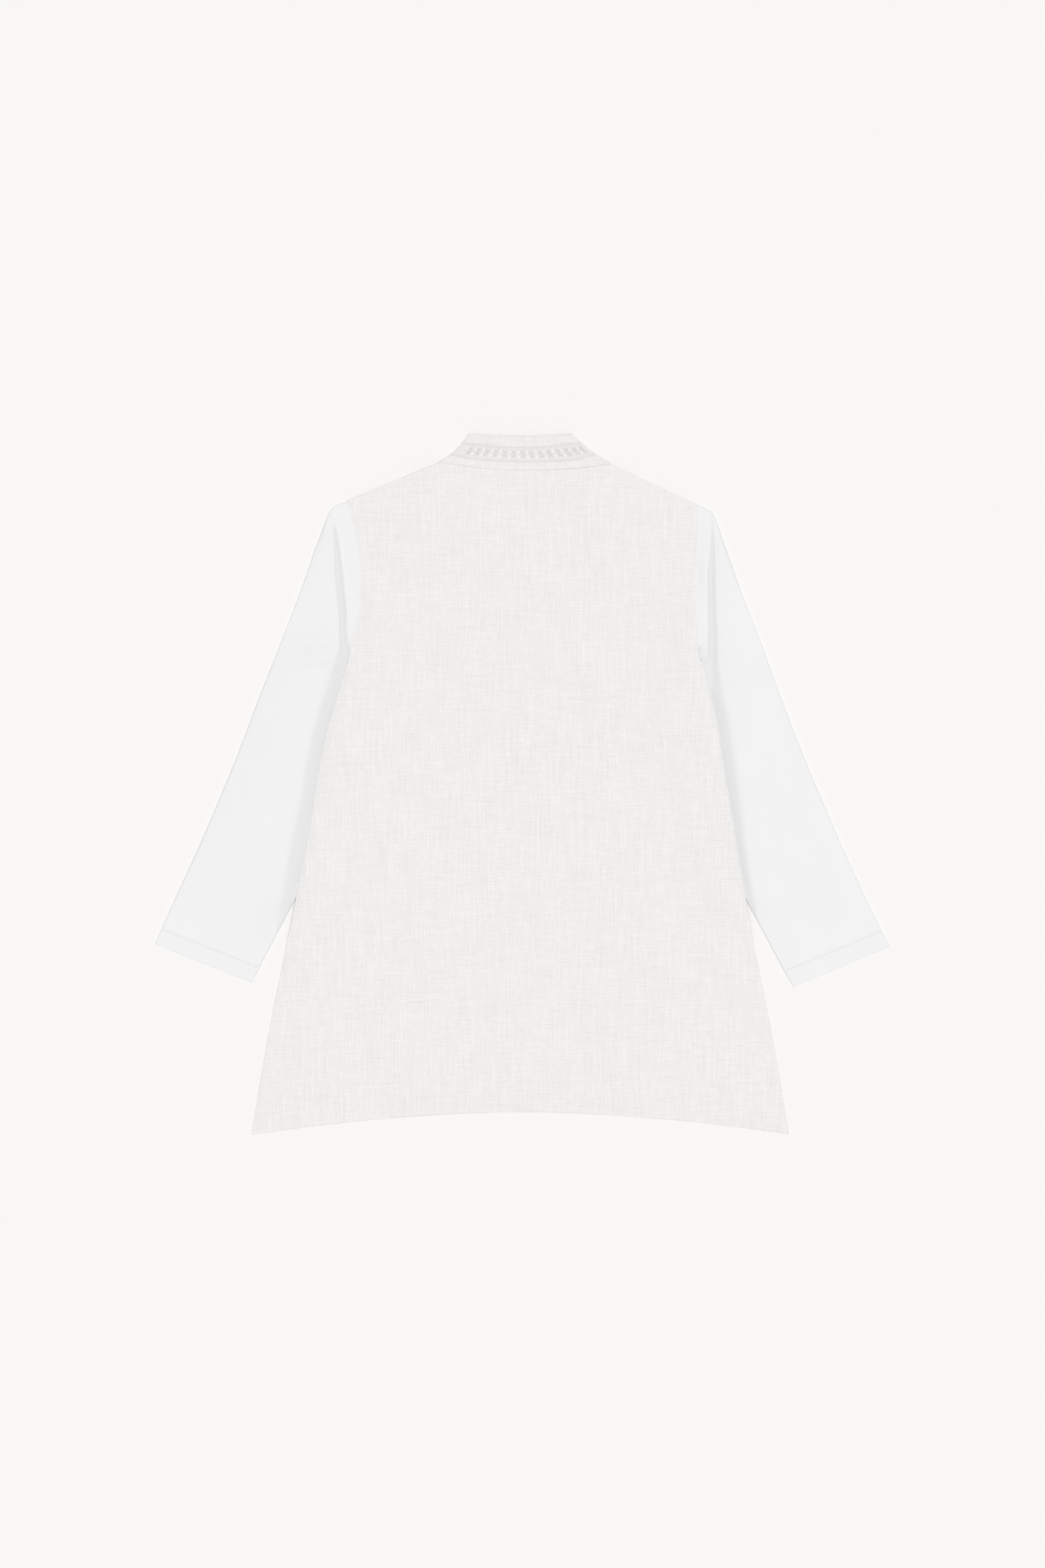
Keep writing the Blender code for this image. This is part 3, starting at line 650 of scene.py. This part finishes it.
def cuff_stitches(name, upper, share):
    """A row of small stitches across the upper layer, where the cuff's hem is sewn."""
    ring = LAST_RING - CUFF_GROOVE.place / mix(CUFF_PITCH, share)
    columns = range(1, len(share) - 1)
    line = [[np.interp(ring[j], SLEEVE_RINGS, upper[:, j, axis]) for axis in range(3)] for j in columns]
    line = np.array(line)
    length = lengths_along(line)
    stitches = Threads()
    t = np.linspace(0, 1, CUFF_STITCH.points)
    upwards = np.tile((0.0, 0.0, 1.0), (CUFF_STITCH.points, 1))
    for start in np.arange(FIRST_STITCH, length[-1] - CUFF_STITCH.length, CUFF_STITCH.pitch):
        at = start + CUFF_STITCH.length * t
        x, y, z = (np.interp(at, length, line[:, axis]) for axis in range(3))
        path = grid(x, y, z + CUFF_STITCH.arch * np.sin(math.pi * t))
        stitches.tube(path, upwards, CUFF_STITCH.radius, CUFF_STITCH.radius)
    return stitches.build(name, "jersey")


def make_sleeve(side, name, replaced):
    share = np.linspace(0, 1, SLEEVE_POINTS)
    plan, along = sleeve_plan(side, share)
    hidden = sleeve_plan(side, np.linspace(0, 1, HIDDEN_POINTS))[0]
    x, y = plan[..., 0], plan[..., 1]
    from_cuff = np.outer(LAST_RING - SLEEVE_RINGS, mix(CUFF_PITCH, share))
    extra = sleeve_extra(side, x, y, from_cuff)
    extra[:, 0] = extra[:, -1] = 0.0
    flat = SLEEVE_FLAT - edge_drop(from_cuff, CUFF_DROP_DOWN)
    top = flat + extra - CUFF_ROLL_SHARE * edge_roll(from_cuff) - ridge(from_cuff, CUFF_GROOVE)
    upper = grid(x, y, top)
    lower = grid(hidden[:, ::-1, 0], hidden[:, ::-1, 1], 0.0)
    angles = math.pi * np.arange(1, FOLD_STEPS) / FOLD_STEPS

    def fold(end, direction, height, way_down):
        reach = FOLD_SIDE * np.sin(angles) ** FOLD_FULLNESS
        turned = end[:, None] + direction[:, None] * reach[None, :, None]
        level = height[:, None] / 2 * (1 + way_down * np.cos(angles))[None, :]
        return grid(turned[..., 0], turned[..., 1], level)

    inner_turn = fold(plan[:, -1], along, flat[:, -1], 1)
    outer_turn = fold(plan[:, 0], -along, flat[:, 0], -1)
    ring = np.concatenate([upper, inner_turn, lower, outer_turn], axis=1)
    if side > 0:
        ring = ring[:, ::-1]
    places = grid(lengths_along(ring, 1), lengths_along(ring, 0), 0.0)
    cloth, area = cloth_shell(name + "_cloth", ring, places, JERSEY_CLOTH, replaced, around=True)
    return cloth, cuff_stitches(name + "_cuff_stitches", upper, share), area


# Collar strip and trim
COLLAR_PITCH = 1.8
COLLAR_EDGE_SHARES = (0, 0.008, 0.018, 0.035, 0.06)
COLLAR_SEAM_SHARES = (0.94, 0.965, 0.982, 0.992, 1.0)
COLLAR_ROWS = 34
BACK_COLLAR_POINTS = 110
TRIM_MIDDLE = 0.52
PRESSED_LINES = (Ridge(5.0, 0.7, 0.18), Ridge(8.5, 0.7, 0.12))
TOP_LINE = Ridge(7.0, 0.8, 0.12)

# The columns of the collar's table: its edge and seam in plan, its level, the way out of it, and its bow
EDGE = slice(0, 2)
SEAM = slice(2, 4)
LEVEL = 4
OUT = slice(5, 8)
BOW = slice(8, 10)


class CollarStrip:
    """The collar's middle surface, from the front's left end over the back to its right end.

    s is in millimetres along the trim from the middle of the back, a share runs from the top edge (0) to the
    seam (1), and an offset is out of the middle surface.
    """

    def __init__(self):
        low = BAND_LIFT + SOLID_CLOTH / 2
        high = low + SOLID_CLOTH + GAP
        turn = (high - low) / 2
        shares = neck_shares(COLLAR_PITCH, slit=True)
        half = len(shares) // 2
        rows = [self.front(t, low) for t in shares[:half][::-1]]
        rows += self.fold(shares[0], low, turn, -1)
        rows += [self.back(t, high) for t in np.linspace(0, 1, BACK_COLLAR_POINTS)]
        rows += self.fold(shares[-1], low, turn, 1)
        rows += [self.front(t, low) for t in shares[half:][::-1]]
        self.rows = np.array(rows)
        length = lengths_along(self.place(self.rows, TRIM_MIDDLE))
        seam_x = self.rows[:, SEAM][:, 0]
        self.s = length - float(np.interp(0.0, seam_x[half:-half], length[half:-half]))

    def bow(self, t):
        near = math.exp(-((min(t, 1 - t) / COLLAR_BOW_REACH) ** 2))
        most = COLLAR_BOW_LEFT if t < 0.5 else COLLAR_BOW_RIGHT
        return most[0] * near, most[1] * near

    def front_ends(self, t):
        return half_ellipse(COLLAR_TOP_LEFT, COLLAR_TOP_RIGHT, COLLAR_FRONT_DROP, t), front_neck(t, inset=GAP)

    def front(self, t, z):
        edge, seam = self.front_ends(t)
        return [*edge, *seam, z, 0, 0, -1, *self.bow(t)]

    def back(self, t, z):
        edge = dipping_line(COLLAR_TOP_LEFT, COLLAR_TOP_RIGHT, COLLAR_TOP_DIP, t)
        return [*edge, *back_neck(t), z, 0, 0, 1, *self.bow(t)]

    def fold(self, t, low, turn, side):
        edge, seam = self.front_ends(t)
        axis = edge - seam
        axis /= np.linalg.norm(axis)
        out = np.array((-axis[1], axis[0]))
        out *= side if out[0] > 0 else -side
        found = []
        for step in range(1, FOLD_STEPS):
            angle = math.pi * step / FOLD_STEPS
            up = side * math.cos(angle)
            way = out * math.sin(angle)
            ends = [*(edge + turn * way), *(seam + turn * way)]
            found.append([*ends, low + turn + turn * up, *way, up, *self.bow(t)])
        return found

    def place(self, rows, share, offset=0.0):
        """Points at a share of the collar's height on each of these rows, moved out by offset."""
        share, offset = (np.asarray(item, float)[..., None] for item in (share, offset))
        plan = mix((rows[..., EDGE], rows[..., SEAM]), share) + rows[..., BOW] * np.sin(math.pi * share)
        return grid(plan[..., 0], plan[..., 1], rows[..., LEVEL]) + rows[..., OUT] * offset

    def row_at(self, s):
        """The rows of the table at these places along the strip, interpolated."""
        return np.stack([np.interp(s, self.s, column) for column in self.rows.T], axis=-1)

    def height(self, s):
        rows = self.row_at(s)
        return np.linalg.norm(rows[..., SEAM] - rows[..., EDGE], axis=-1)

    def trim_shares(self, s):
        """The shares of the collar's height between which the trim lies at s."""
        x = self.row_at(s)[..., SEAM][..., 0]
        from_side = np.minimum(np.abs(x - NECK_LEFT[0]), np.abs(NECK_RIGHT[0] - x))
        from_side = from_side / (NECK_RIGHT[0] - NECK_LEFT[0])
        turns = [soft_step(turn * from_side) for turn in BAND_TURN]
        return mix(BAND_UPPER, turns[0]), mix(BAND_LOWER, turns[1])


strip = CollarStrip()


def make_collar():
    s = strip.s
    heights = strip.height(s)
    between = np.linspace(COLLAR_EDGE_SHARES[-1], COLLAR_SEAM_SHARES[0], COLLAR_ROWS)[1:-1]
    share = np.concatenate([COLLAR_EDGE_SHARES, between, COLLAR_SEAM_SHARES])
    from_top = heights[:, None] * share[None]
    from_seam = heights[:, None] * (1 - share[None])
    offset = SOLID_CLOTH / 2 - np.maximum(edge_roll(from_top), edge_roll(from_seam, NECK_ROLL))
    offset = offset + sum(ridge(from_seam, line) for line in PRESSED_LINES) + ridge(from_top, TOP_LINE)
    outer = strip.place(strip.rows[:, None, :], share[None], offset)
    cloth = grid(s[:, None], from_seam + COLLAR_CLOTH_SHIFT, 0.0)
    return cloth_shell("collar_cloth", outer, cloth, LINEN_CLOTH, "collar", flip=0)


RIBBON_LIFT = SOLID_CLOTH / 2 + 0.03
RIBBON_POINTS = 13


def make_ribbon():
    s = strip.s[1:-1]
    start, end = strip.trim_shares(s)
    across = np.linspace(0, 1, RIBBON_POINTS)
    share = mix((start[:, None], end[:, None]), across[None])
    rows = strip.row_at(s)[:, None, :]
    outer = strip.place(rows, share, RIBBON_LIFT + RIBBON_CLOTH)
    width = strip.height(s) * (end - start)
    cloth = grid(s[:, None], across[None] * width[:, None], 0.0)
    return cloth_shell("trim_ribbon", outer, cloth, RIBBON_CLOTH, "collar_band", flip=0)


def ring_faces(rings, sides):
    """Faces between rings of points that close on themselves."""
    faces = []
    for i in range(rings - 1):
        for j in range(sides):
            k = (j + 1) % sides
            faces.append((i * sides + j, i * sides + k, (i + 1) * sides + k, (i + 1) * sides + j))
    return faces


# How a thread's ends round off
END_POWER = 8
END_LEAST = 0.04


class Threads:
    """Small closed thread forms gathered into one mesh."""

    def __init__(self):
        self.points, self.faces, self.cloth, self.count = [], [], [], 0

    def add(self, points, faces, cloth):
        self.points.append(points)
        self.cloth.append(cloth)
        self.faces += [tuple(corner + self.count for corner in face) for face in faces]
        self.count += len(points)

    def tube(self, path, upwards, half_width, half_height, sides=6):
        """A flattened thread along a path of points, lying on its side that faces down."""
        along = np.gradient(path, axis=0)
        along /= np.linalg.norm(along, axis=1, keepdims=True)
        aside = np.cross(along, upwards)
        aside /= np.linalg.norm(aside, axis=1, keepdims=True)
        count = len(path)
        size = np.sqrt(np.clip(1 - np.linspace(-1, 1, count) ** END_POWER, END_LEAST, 1))
        angle = 2 * math.pi * np.arange(sides) / sides
        ring = (
            aside[:, None] * (half_width * np.cos(angle))[None, :, None]
            + upwards[:, None] * (half_height * np.sin(angle))[None, :, None]
        )
        points = (path[:, None] + ring * size[:, None, None]).reshape(-1, 3)
        faces = ring_faces(count, sides)
        faces.append(tuple(range(sides))[::-1])
        faces.append(tuple((count - 1) * sides + j for j in range(sides)))
        along = np.repeat(lengths_along(path), sides)
        self.add(points, faces, grid(along, np.tile(angle * half_width, count), 0.0))

    def dome(self, place, rings=4, sides=14, sink=0.2):
        """A padded spot. place(u, v, height) gives points, for u and v in a unit circle."""
        radius = np.linspace(0, 1, rings + 1)[1:]
        angle = 2 * math.pi * np.arange(sides) / sides
        u = np.append(np.outer(radius, np.cos(angle)), 0.0)
        v = np.append(np.outer(radius, np.sin(angle)), 0.0)
        height = np.sqrt(np.clip(1 - (u * u + v * v), 0, 1))
        points = np.concatenate([place(u, v, height), place(u, v, np.full_like(u, -sink))])
        half = len(u)
        faces = [(a, d, c, b) for a, b, c, d in ring_faces(rings, sides)]
        faces += [(half - 1, j, (j + 1) % sides) for j in range(sides)]
        faces += [tuple(half + corner for corner in face[::-1]) for face in faces]
        last = (rings - 1) * sides
        for j in range(sides):
            k = (j + 1) % sides
            faces.append((last + k, last + j, half + last + j, half + last + k))
        self.add(points, faces, np.tile(grid(u * 2, v * 2, 0.0), (2, 1)))

    def build(self, name, slot):
        cloth = np.concatenate(self.cloth)
        return new_object(name, np.concatenate(self.points), self.faces, cloth)


TRIM_PITCH = 10.3
TRIM_SHIFT = -3.0
TRIM_WANDER = 0.25
TRIM_TOP = RIBBON_LIFT + RIBBON_CLOTH
FLAT_ENOUGH = 0.99

# Threads on the trim, from one share of its width to another, with an arch
CROSSED, BESIDE, BETWEEN = table(
    "points top bottom lift arch half_width half_height",
    (9, 0.2, 0.78, 0.2, 0.25, 0.5, 0.3),
    (7, 0.2, 0.78, 0.12, 0.15, 0.32, 0.22),
    (5, 0.5, 0.5, 0.2, 0.12, 0.3, 0.22),
)
CROSSED_REACH = 1.9
CROSSED_LEAN = 2.5
CROSSED_OVER = 0.12
BESIDE_PLACES = (-2.3, 2.3)
BESIDE_BEND = (0.8, 0.25)
BESIDE_LEAN = 2.2
BETWEEN_REACH = 2.4

# Cords at these shares of the trim's width, wavy in height
BORDERS = (0.02, 0.11, 0.88, 0.985)
BORDER_CORD = (0.28, 0.2)
BORDER_STEP = 1.6
BORDER_WAVE = (0.1, 0.05, 2.1)

# Padded spots, which vary a little in size and lean to the right of the middle
SPOTS = table("across half_long half_high", (0.34, 1.95, 1.6), (0.66, 1.95, 1.6))
SPOT_SIZES = (0.88, 1.08)
SPOT_REACH = 2.6
SPOT_HEIGHT = 0.55
SPOT_WIDTH_SHARE = 0.43
SPOT_SQUARENESS = 0.18
SPOT_LEAN = 3
LEAN = (0.9, 15, 60)
LEAN_END = (110, 0.4)


def trim_point(s, across, lift):
    """A point on the trim: across runs from its upper edge (0) to its lower edge (1)."""
    return strip.place(strip.row_at(s), mix(strip.trim_shares(s), across), TRIM_TOP + lift)


def trim_up(s):
    return strip.row_at(s)[..., OUT]


def lean_at(s):
    """How much the pattern leans to one side at this place along the trim."""
    return LEAN[0] * float(soft_step((s - LEAN[1]) / LEAN[2])) if s < LEAN_END[0] else LEAN_END[1]


def make_embroidery():
    random = np.random.default_rng(11)
    light, dark = Threads(), Threads()

    def lay(kind, s, t, over=0.0):
        lift = kind.lift + kind.arch * np.sin(math.pi * t) + over
        path = trim_point(s, mix((kind.top, kind.bottom), t), lift)
        dark.tube(path, trim_up(s), kind.half_width, kind.half_height)

    s_from, s_to = strip.s[2], strip.s[-3]
    line = np.arange(s_from, s_to, BORDER_STEP)
    low, wave, rate = BORDER_WAVE
    for across in BORDERS:
        dark.tube(trim_point(line, across, low + wave * np.sin(line * rate)), trim_up(line), *BORDER_CORD)
    count = int(min(-s_from, s_to) / TRIM_PITCH)
    for number in range(-count + 1, count + 1):
        s0 = number * TRIM_PITCH + TRIM_SHIFT + random.uniform(-TRIM_WANDER, TRIM_WANDER)
        lean = lean_at(s0)
        if np.abs(trim_up([s0 - SPOT_REACH, s0, s0 + SPOT_REACH])[:, 2]).min() < FLAT_ENOUGH:
            continue
        for spot in SPOTS:
            size = random.uniform(*SPOT_SIZES)
            shift = lean * (0.5 - spot.across) * SPOT_LEAN

            def place(u, v, height):
                squarer = 1 + SPOT_SQUARENESS * (u * v) ** 2
                s = s0 + shift + u * spot.half_long * size * squarer
                width = strip.height(s0) * SPOT_WIDTH_SHARE
                return trim_point(s, spot.across + v * spot.half_high * size / width, SPOT_HEIGHT * height)

            light.dome(place)
        middle = s0 + TRIM_PITCH / 2
        for way in (-1, 1):
            t = np.linspace(0, 1, CROSSED.points)
            s = middle + way * CROSSED_REACH * (2 * t - 1) + lean * CROSSED_LEAN * (0.5 - t)
            lay(CROSSED, s, t, CROSSED_OVER if way > 0 else 0.0)
        for offset in BESIDE_PLACES:
            t = np.linspace(0, 1, BESIDE.points)
            bend = BESIDE_BEND[0] + BESIDE_BEND[1] * np.abs(2 * t - 1)
            lay(BESIDE, middle + offset * bend + lean * BESIDE_LEAN * (0.5 - t), t)
        t = np.linspace(0, 1, BETWEEN.points)
        lay(BETWEEN, s0 + BETWEEN_REACH * (2 * t - 1), t)
    return light.build("trim_white_threads", "embroidery"), dark.build("trim_grey_threads", "embroidery")


# Materials


class Nodes:
    """A material's node tree, with short calls for the nodes used here."""

    def __init__(self, name):
        self.material = bpy.data.materials.new(name)
        self.material.use_nodes = True
        self.tree = self.material.node_tree
        self.shader = self.tree.nodes["Principled BSDF"]

    def fill(self, node, inputs):
        """Give a node's inputs their values, or join them to other nodes."""
        for key, value in inputs.items():
            if isinstance(value, bpy.types.NodeSocket):
                self.tree.links.new(value, node.inputs[key])
            else:
                node.inputs[key].default_value = value

    def add(self, kind, inputs, **settings):
        node = self.tree.nodes.new(kind)
        for key, value in settings.items():
            setattr(node, key, value)
        self.fill(node, inputs)
        return node

    def math(self, operation, a, b=0.0):
        return self.add("ShaderNodeMath", {0: a, 1: b}, operation=operation).outputs[0]

    def plus(self, a, b):
        return self.math("ADD", a, b)

    def times(self, a, b):
        return self.math("MULTIPLY", a, b)

    def sine(self, a):
        return self.math("SINE", a)

    def vector(self, operation, inputs):
        return self.add("ShaderNodeVectorMath", inputs, operation=operation).outputs[0]

    def noise(self, place, scale, detail):
        """Noise at a place, scaled along each way."""
        inputs = {"Vector": self.vector("MULTIPLY", {0: place, 1: scale}), "Scale": 1.0, "Detail": detail}
        inputs["Roughness"] = NOISE_ROUGHNESS
        return self.add("ShaderNodeTexNoise", inputs).outputs["Fac"]

    def streaks(self, place, look):
        """Noise drawn out along one way of the cloth, each thread's part shifted so that no rows show."""
        scale = (look.across, look.down, 1)
        shift_scale = [STREAK_SHIFT_SCALE * look.across, STREAK_SHIFT_SCALE * look.down, 1]
        shift_scale[look.long_way] = 0
        shift = self.times(self.noise(place, shift_scale, 1.0), STREAK_SHIFT)
        offset = self.add("ShaderNodeCombineXYZ", {look.long_way: shift}).outputs[0]
        moved = self.vector("MULTIPLY_ADD", {0: place, 1: scale, 2: offset})
        return self.noise(moved, (1, 1, 1), look.detail)

    def ramp(self, fac, low, high):
        """low and high are (place, colour)."""
        node = self.add("ShaderNodeValToRGB", {"Fac": fac})
        for element, (place, colour) in zip(node.color_ramp.elements, (low, high)):
            element.position = place
            element.color = (*colour, 1)
        return node.outputs["Color"]

    def bump(self, height, strength, distance):
        inputs = {"Height": height, "Strength": strength, "Distance": distance}
        return self.add("ShaderNodeBump", inputs).outputs["Normal"]

    def cloth(self):
        """The place on the flat cloth, in millimetres, and its parts across and down."""
        place = self.add("ShaderNodeAttribute", {}, attribute_name="cloth").outputs["Vector"]
        parts = self.add("ShaderNodeSeparateXYZ", {0: place}).outputs
        return place, parts[0], parts[1]

    def painted_shade(self, colour, shade):
        """The colour with painted shade: darker by ambient occlusion in the valleys, as between layers of
        cloth.
        """
        node = self.add("ShaderNodeAmbientOcclusion", {"Distance": shade.distance}, samples=shade.samples)
        dark = self.times(self.math("SUBTRACT", 1.0, node.outputs["AO"]), shade.amount)
        kept = self.math("SUBTRACT", 1.0, self.math("MINIMUM", dark, shade.most))
        return self.vector("SCALE", {0: colour, "Scale": kept})

    def finish(self, colour, normal, roughness, sheen, specular):
        looks = {"Base Color": colour, "Normal": normal, "Roughness": roughness, "Sheen Weight": sheen}
        looks.update({"Sheen Roughness": 0.5, "Specular IOR Level": specular})
        self.fill(self.shader, looks)
        return self.material


NOISE_ROUGHNESS = 0.55
STREAK_SHIFT_SCALE = 0.45
STREAK_SHIFT = 11.0
# Painted shade from ambient occlusion: over what distance, how strongly, at most how much darker, and with
# how many samples
LINEN_PAINTED_SHADE, JERSEY_PAINTED_SHADE = table(
    "distance amount most samples",
    (0.012, 0.35, 0.12, 16),
    (0.03, 5.5, 0.088, 64),
)

# The linen's slubs: noise cells for each millimetre across and down, and how much each kind counts
SLUBS = table(
    "across down detail long_way weight",
    (0.85, 0.022, 2.0, 1, 1.15),
    (0.03, 0.8, 2.0, 0, 0.9),
    (1.9, 0.11, 1.0, 1, 0.9),
    (0.12, 1.8, 1.0, 0, 0.9),
)
MOTTLE_WEIGHT = 0.12
WEAVE_RATES = (5.7, 5.9)
KNIT_RATES = (7.4, 8.6)


def linen_material():
    nodes = Nodes("slubbed_linen")
    place, x, y = nodes.cloth()
    streaks = [nodes.streaks(place, look) for look in SLUBS]
    parts = [nodes.times(streak, look.weight) for streak, look in zip(streaks, SLUBS)]
    parts.append(nodes.times(nodes.noise(place, (0.035, 0.03, 1), 3.0), MOTTLE_WEIGHT))
    long_ones = nodes.plus(parts[0], parts[1])
    total = long_ones
    for part in parts[2:]:
        total = nodes.plus(total, part)
    total = nodes.math("DIVIDE", total, MOTTLE_WEIGHT + sum(look.weight for look in SLUBS))
    colour = nodes.ramp(total, (0.405, (0.779, 0.770, 0.755)), (0.595, (0.941, 0.931, 0.916)))
    # Painted shade: the linen's colour darkens a little in valleys and where it meets other layers
    colour = nodes.painted_shade(colour, LINEN_PAINTED_SHADE)
    wobble = nodes.times(nodes.math("SUBTRACT", streaks[2], 0.5), 2.0)
    warp = nodes.sine(nodes.plus(nodes.times(x, WEAVE_RATES[0]), wobble))
    weft = nodes.sine(nodes.plus(nodes.times(y, WEAVE_RATES[1]), wobble))
    height = nodes.plus(nodes.times(nodes.times(warp, weft), 0.12), nodes.times(long_ones, 0.9))
    normal = nodes.bump(height, 0.55, 0.0004)
    rough = nodes.plus(0.72, nodes.times(total, 0.2))
    return nodes.finish(colour, normal, rough, sheen=0.08, specular=0.2)


def jersey_material():
    nodes = Nodes("smooth_jersey")
    place, x, y = nodes.cloth()
    wale = nodes.math("ABSOLUTE", nodes.sine(nodes.times(x, KNIT_RATES[0])))
    loops = nodes.sine(nodes.plus(nodes.times(y, KNIT_RATES[1]), wale))
    height = nodes.plus(wale, nodes.times(loops, 0.35))
    fuzz = nodes.noise(place, (0.9, 0.35, 1), 3.0)
    mottle = nodes.noise(place, (0.02, 0.012, 1), 2.0)
    tone = nodes.plus(nodes.times(fuzz, 0.4), nodes.times(mottle, 0.6))
    colour = nodes.ramp(tone, (0.3, (0.866, 0.864, 0.865)), (0.7, (0.884, 0.882, 0.883)))
    # Painted shade: the sleeves' colour darkens in their creases and along the body's edge, up to a cap
    colour = nodes.painted_shade(colour, JERSEY_PAINTED_SHADE)
    normal = nodes.bump(height, 0.25, 0.0001)
    rough = nodes.plus(0.62, nodes.times(fuzz, 0.12))
    return nodes.finish(colour, normal, rough, sheen=0.1, specular=0.25)


def thread_material(name, low, high, twist):
    nodes = Nodes(name)
    place, along, around = nodes.cloth()
    strands = nodes.sine(nodes.plus(nodes.times(along, twist), around))
    speckle = nodes.noise(place, (1.4, 1.9, 1), 3.0)
    tone = nodes.plus(nodes.times(strands, 0.12), speckle)
    colour = nodes.ramp(tone, (0.32, low), (0.68, high))
    normal = nodes.bump(strands, 0.4, 0.00012)
    rough = nodes.plus(0.42, nodes.times(speckle, 0.2))
    return nodes.finish(colour, normal, rough, sheen=0.05, specular=0.4)


def floor_material():
    nodes = Nodes("pale_paper_floor")
    place = nodes.add("ShaderNodeTexCoord", {}).outputs["Object"]
    grain = nodes.noise(place, (700, 700, 700), 2.0)
    colour = nodes.ramp(grain, (0.0, (0.915, 0.905, 0.889)), (1.0, (0.920, 0.910, 0.894)))
    normal = nodes.bump(grain, 0.02, 0.0001)
    return nodes.finish(colour, normal, 0.9, sheen=0.0, specular=0.0)


# Floor, light and camera
FLOOR_REACH_M = 6.0
FLOOR_LEVEL_M = -0.0002
SKY_STRENGTH = 0.425
SUN_STRENGTH = 1.895
SUN_SPREAD = 30
SUN_TILT = (-2, 4)
CAMERA_HEIGHT_M = 10.0
CAMERA_LENS = 200


def stand(name, data):
    """An object for this data, in the scene."""
    thing = bpy.data.objects.new(name, data)
    bpy.context.scene.collection.objects.link(thing)
    return thing


def make_stage():
    mesh = bpy.data.meshes.new("floor")
    sides = (-FLOOR_REACH_M, FLOOR_REACH_M)
    mesh.from_pydata([(x, y, FLOOR_LEVEL_M) for y in sides for x in sides], [], [(0, 1, 3, 2)])
    mesh.materials.append(floor_material())
    stand("floor", mesh)
    world = bpy.data.worlds.new("soft_room")
    world.use_nodes = True
    background = world.node_tree.nodes["Background"]
    background.inputs["Color"].default_value = (1, 1, 1, 1)
    background.inputs["Strength"].default_value = SKY_STRENGTH
    bpy.context.scene.world = world
    key = bpy.data.lights.new("key", "SUN")
    key.energy = SUN_STRENGTH
    key.angle = math.radians(SUN_SPREAD)
    stand("key", key).rotation_euler = (math.radians(SUN_TILT[0]), math.radians(SUN_TILT[1]), 0)
    lens = bpy.data.cameras.new("camera")
    lens.lens = CAMERA_LENS
    camera = stand("camera", lens)
    camera.location = (0, 0, CAMERA_HEIGHT_M)
    bpy.context.scene.camera = camera
    bpy.context.scene.view_settings.view_transform = "Standard"


def dress(material, *pieces):
    for piece in pieces:
        piece.data.materials.append(material)


make_stage()
back_cloth, back_area = make_back_panel()
front_cloth, front_area = make_front_panel()
left_cloth, left_stitches, left_area = make_sleeve(-1, "left_sleeve", "sleeve_left")
right_cloth, right_stitches, right_area = make_sleeve(1, "right_sleeve", "sleeve_right")
collar_cloth, collar_area = make_collar()
trim_ribbon, ribbon_area = make_ribbon()
white_threads, grey_threads = make_embroidery()

dress(linen_material(), back_cloth, front_cloth, collar_cloth)
dress(jersey_material(), left_cloth, right_cloth)
sewing = thread_material("white_sewing_thread", (0.80, 0.80, 0.80), (0.87, 0.87, 0.87), 12.0)
dress(sewing, left_stitches, right_stitches)
dress(thread_material("trim_ground", (0.79, 0.78, 0.765), (0.88, 0.87, 0.857), 9.0), trim_ribbon)
dress(thread_material("white_satin", (0.92, 0.92, 0.91), (0.975, 0.975, 0.97), 12.0), white_threads)
dress(thread_material("grey_cotton", (0.72, 0.71, 0.69), (0.84, 0.83, 0.815), 12.0), grey_threads)
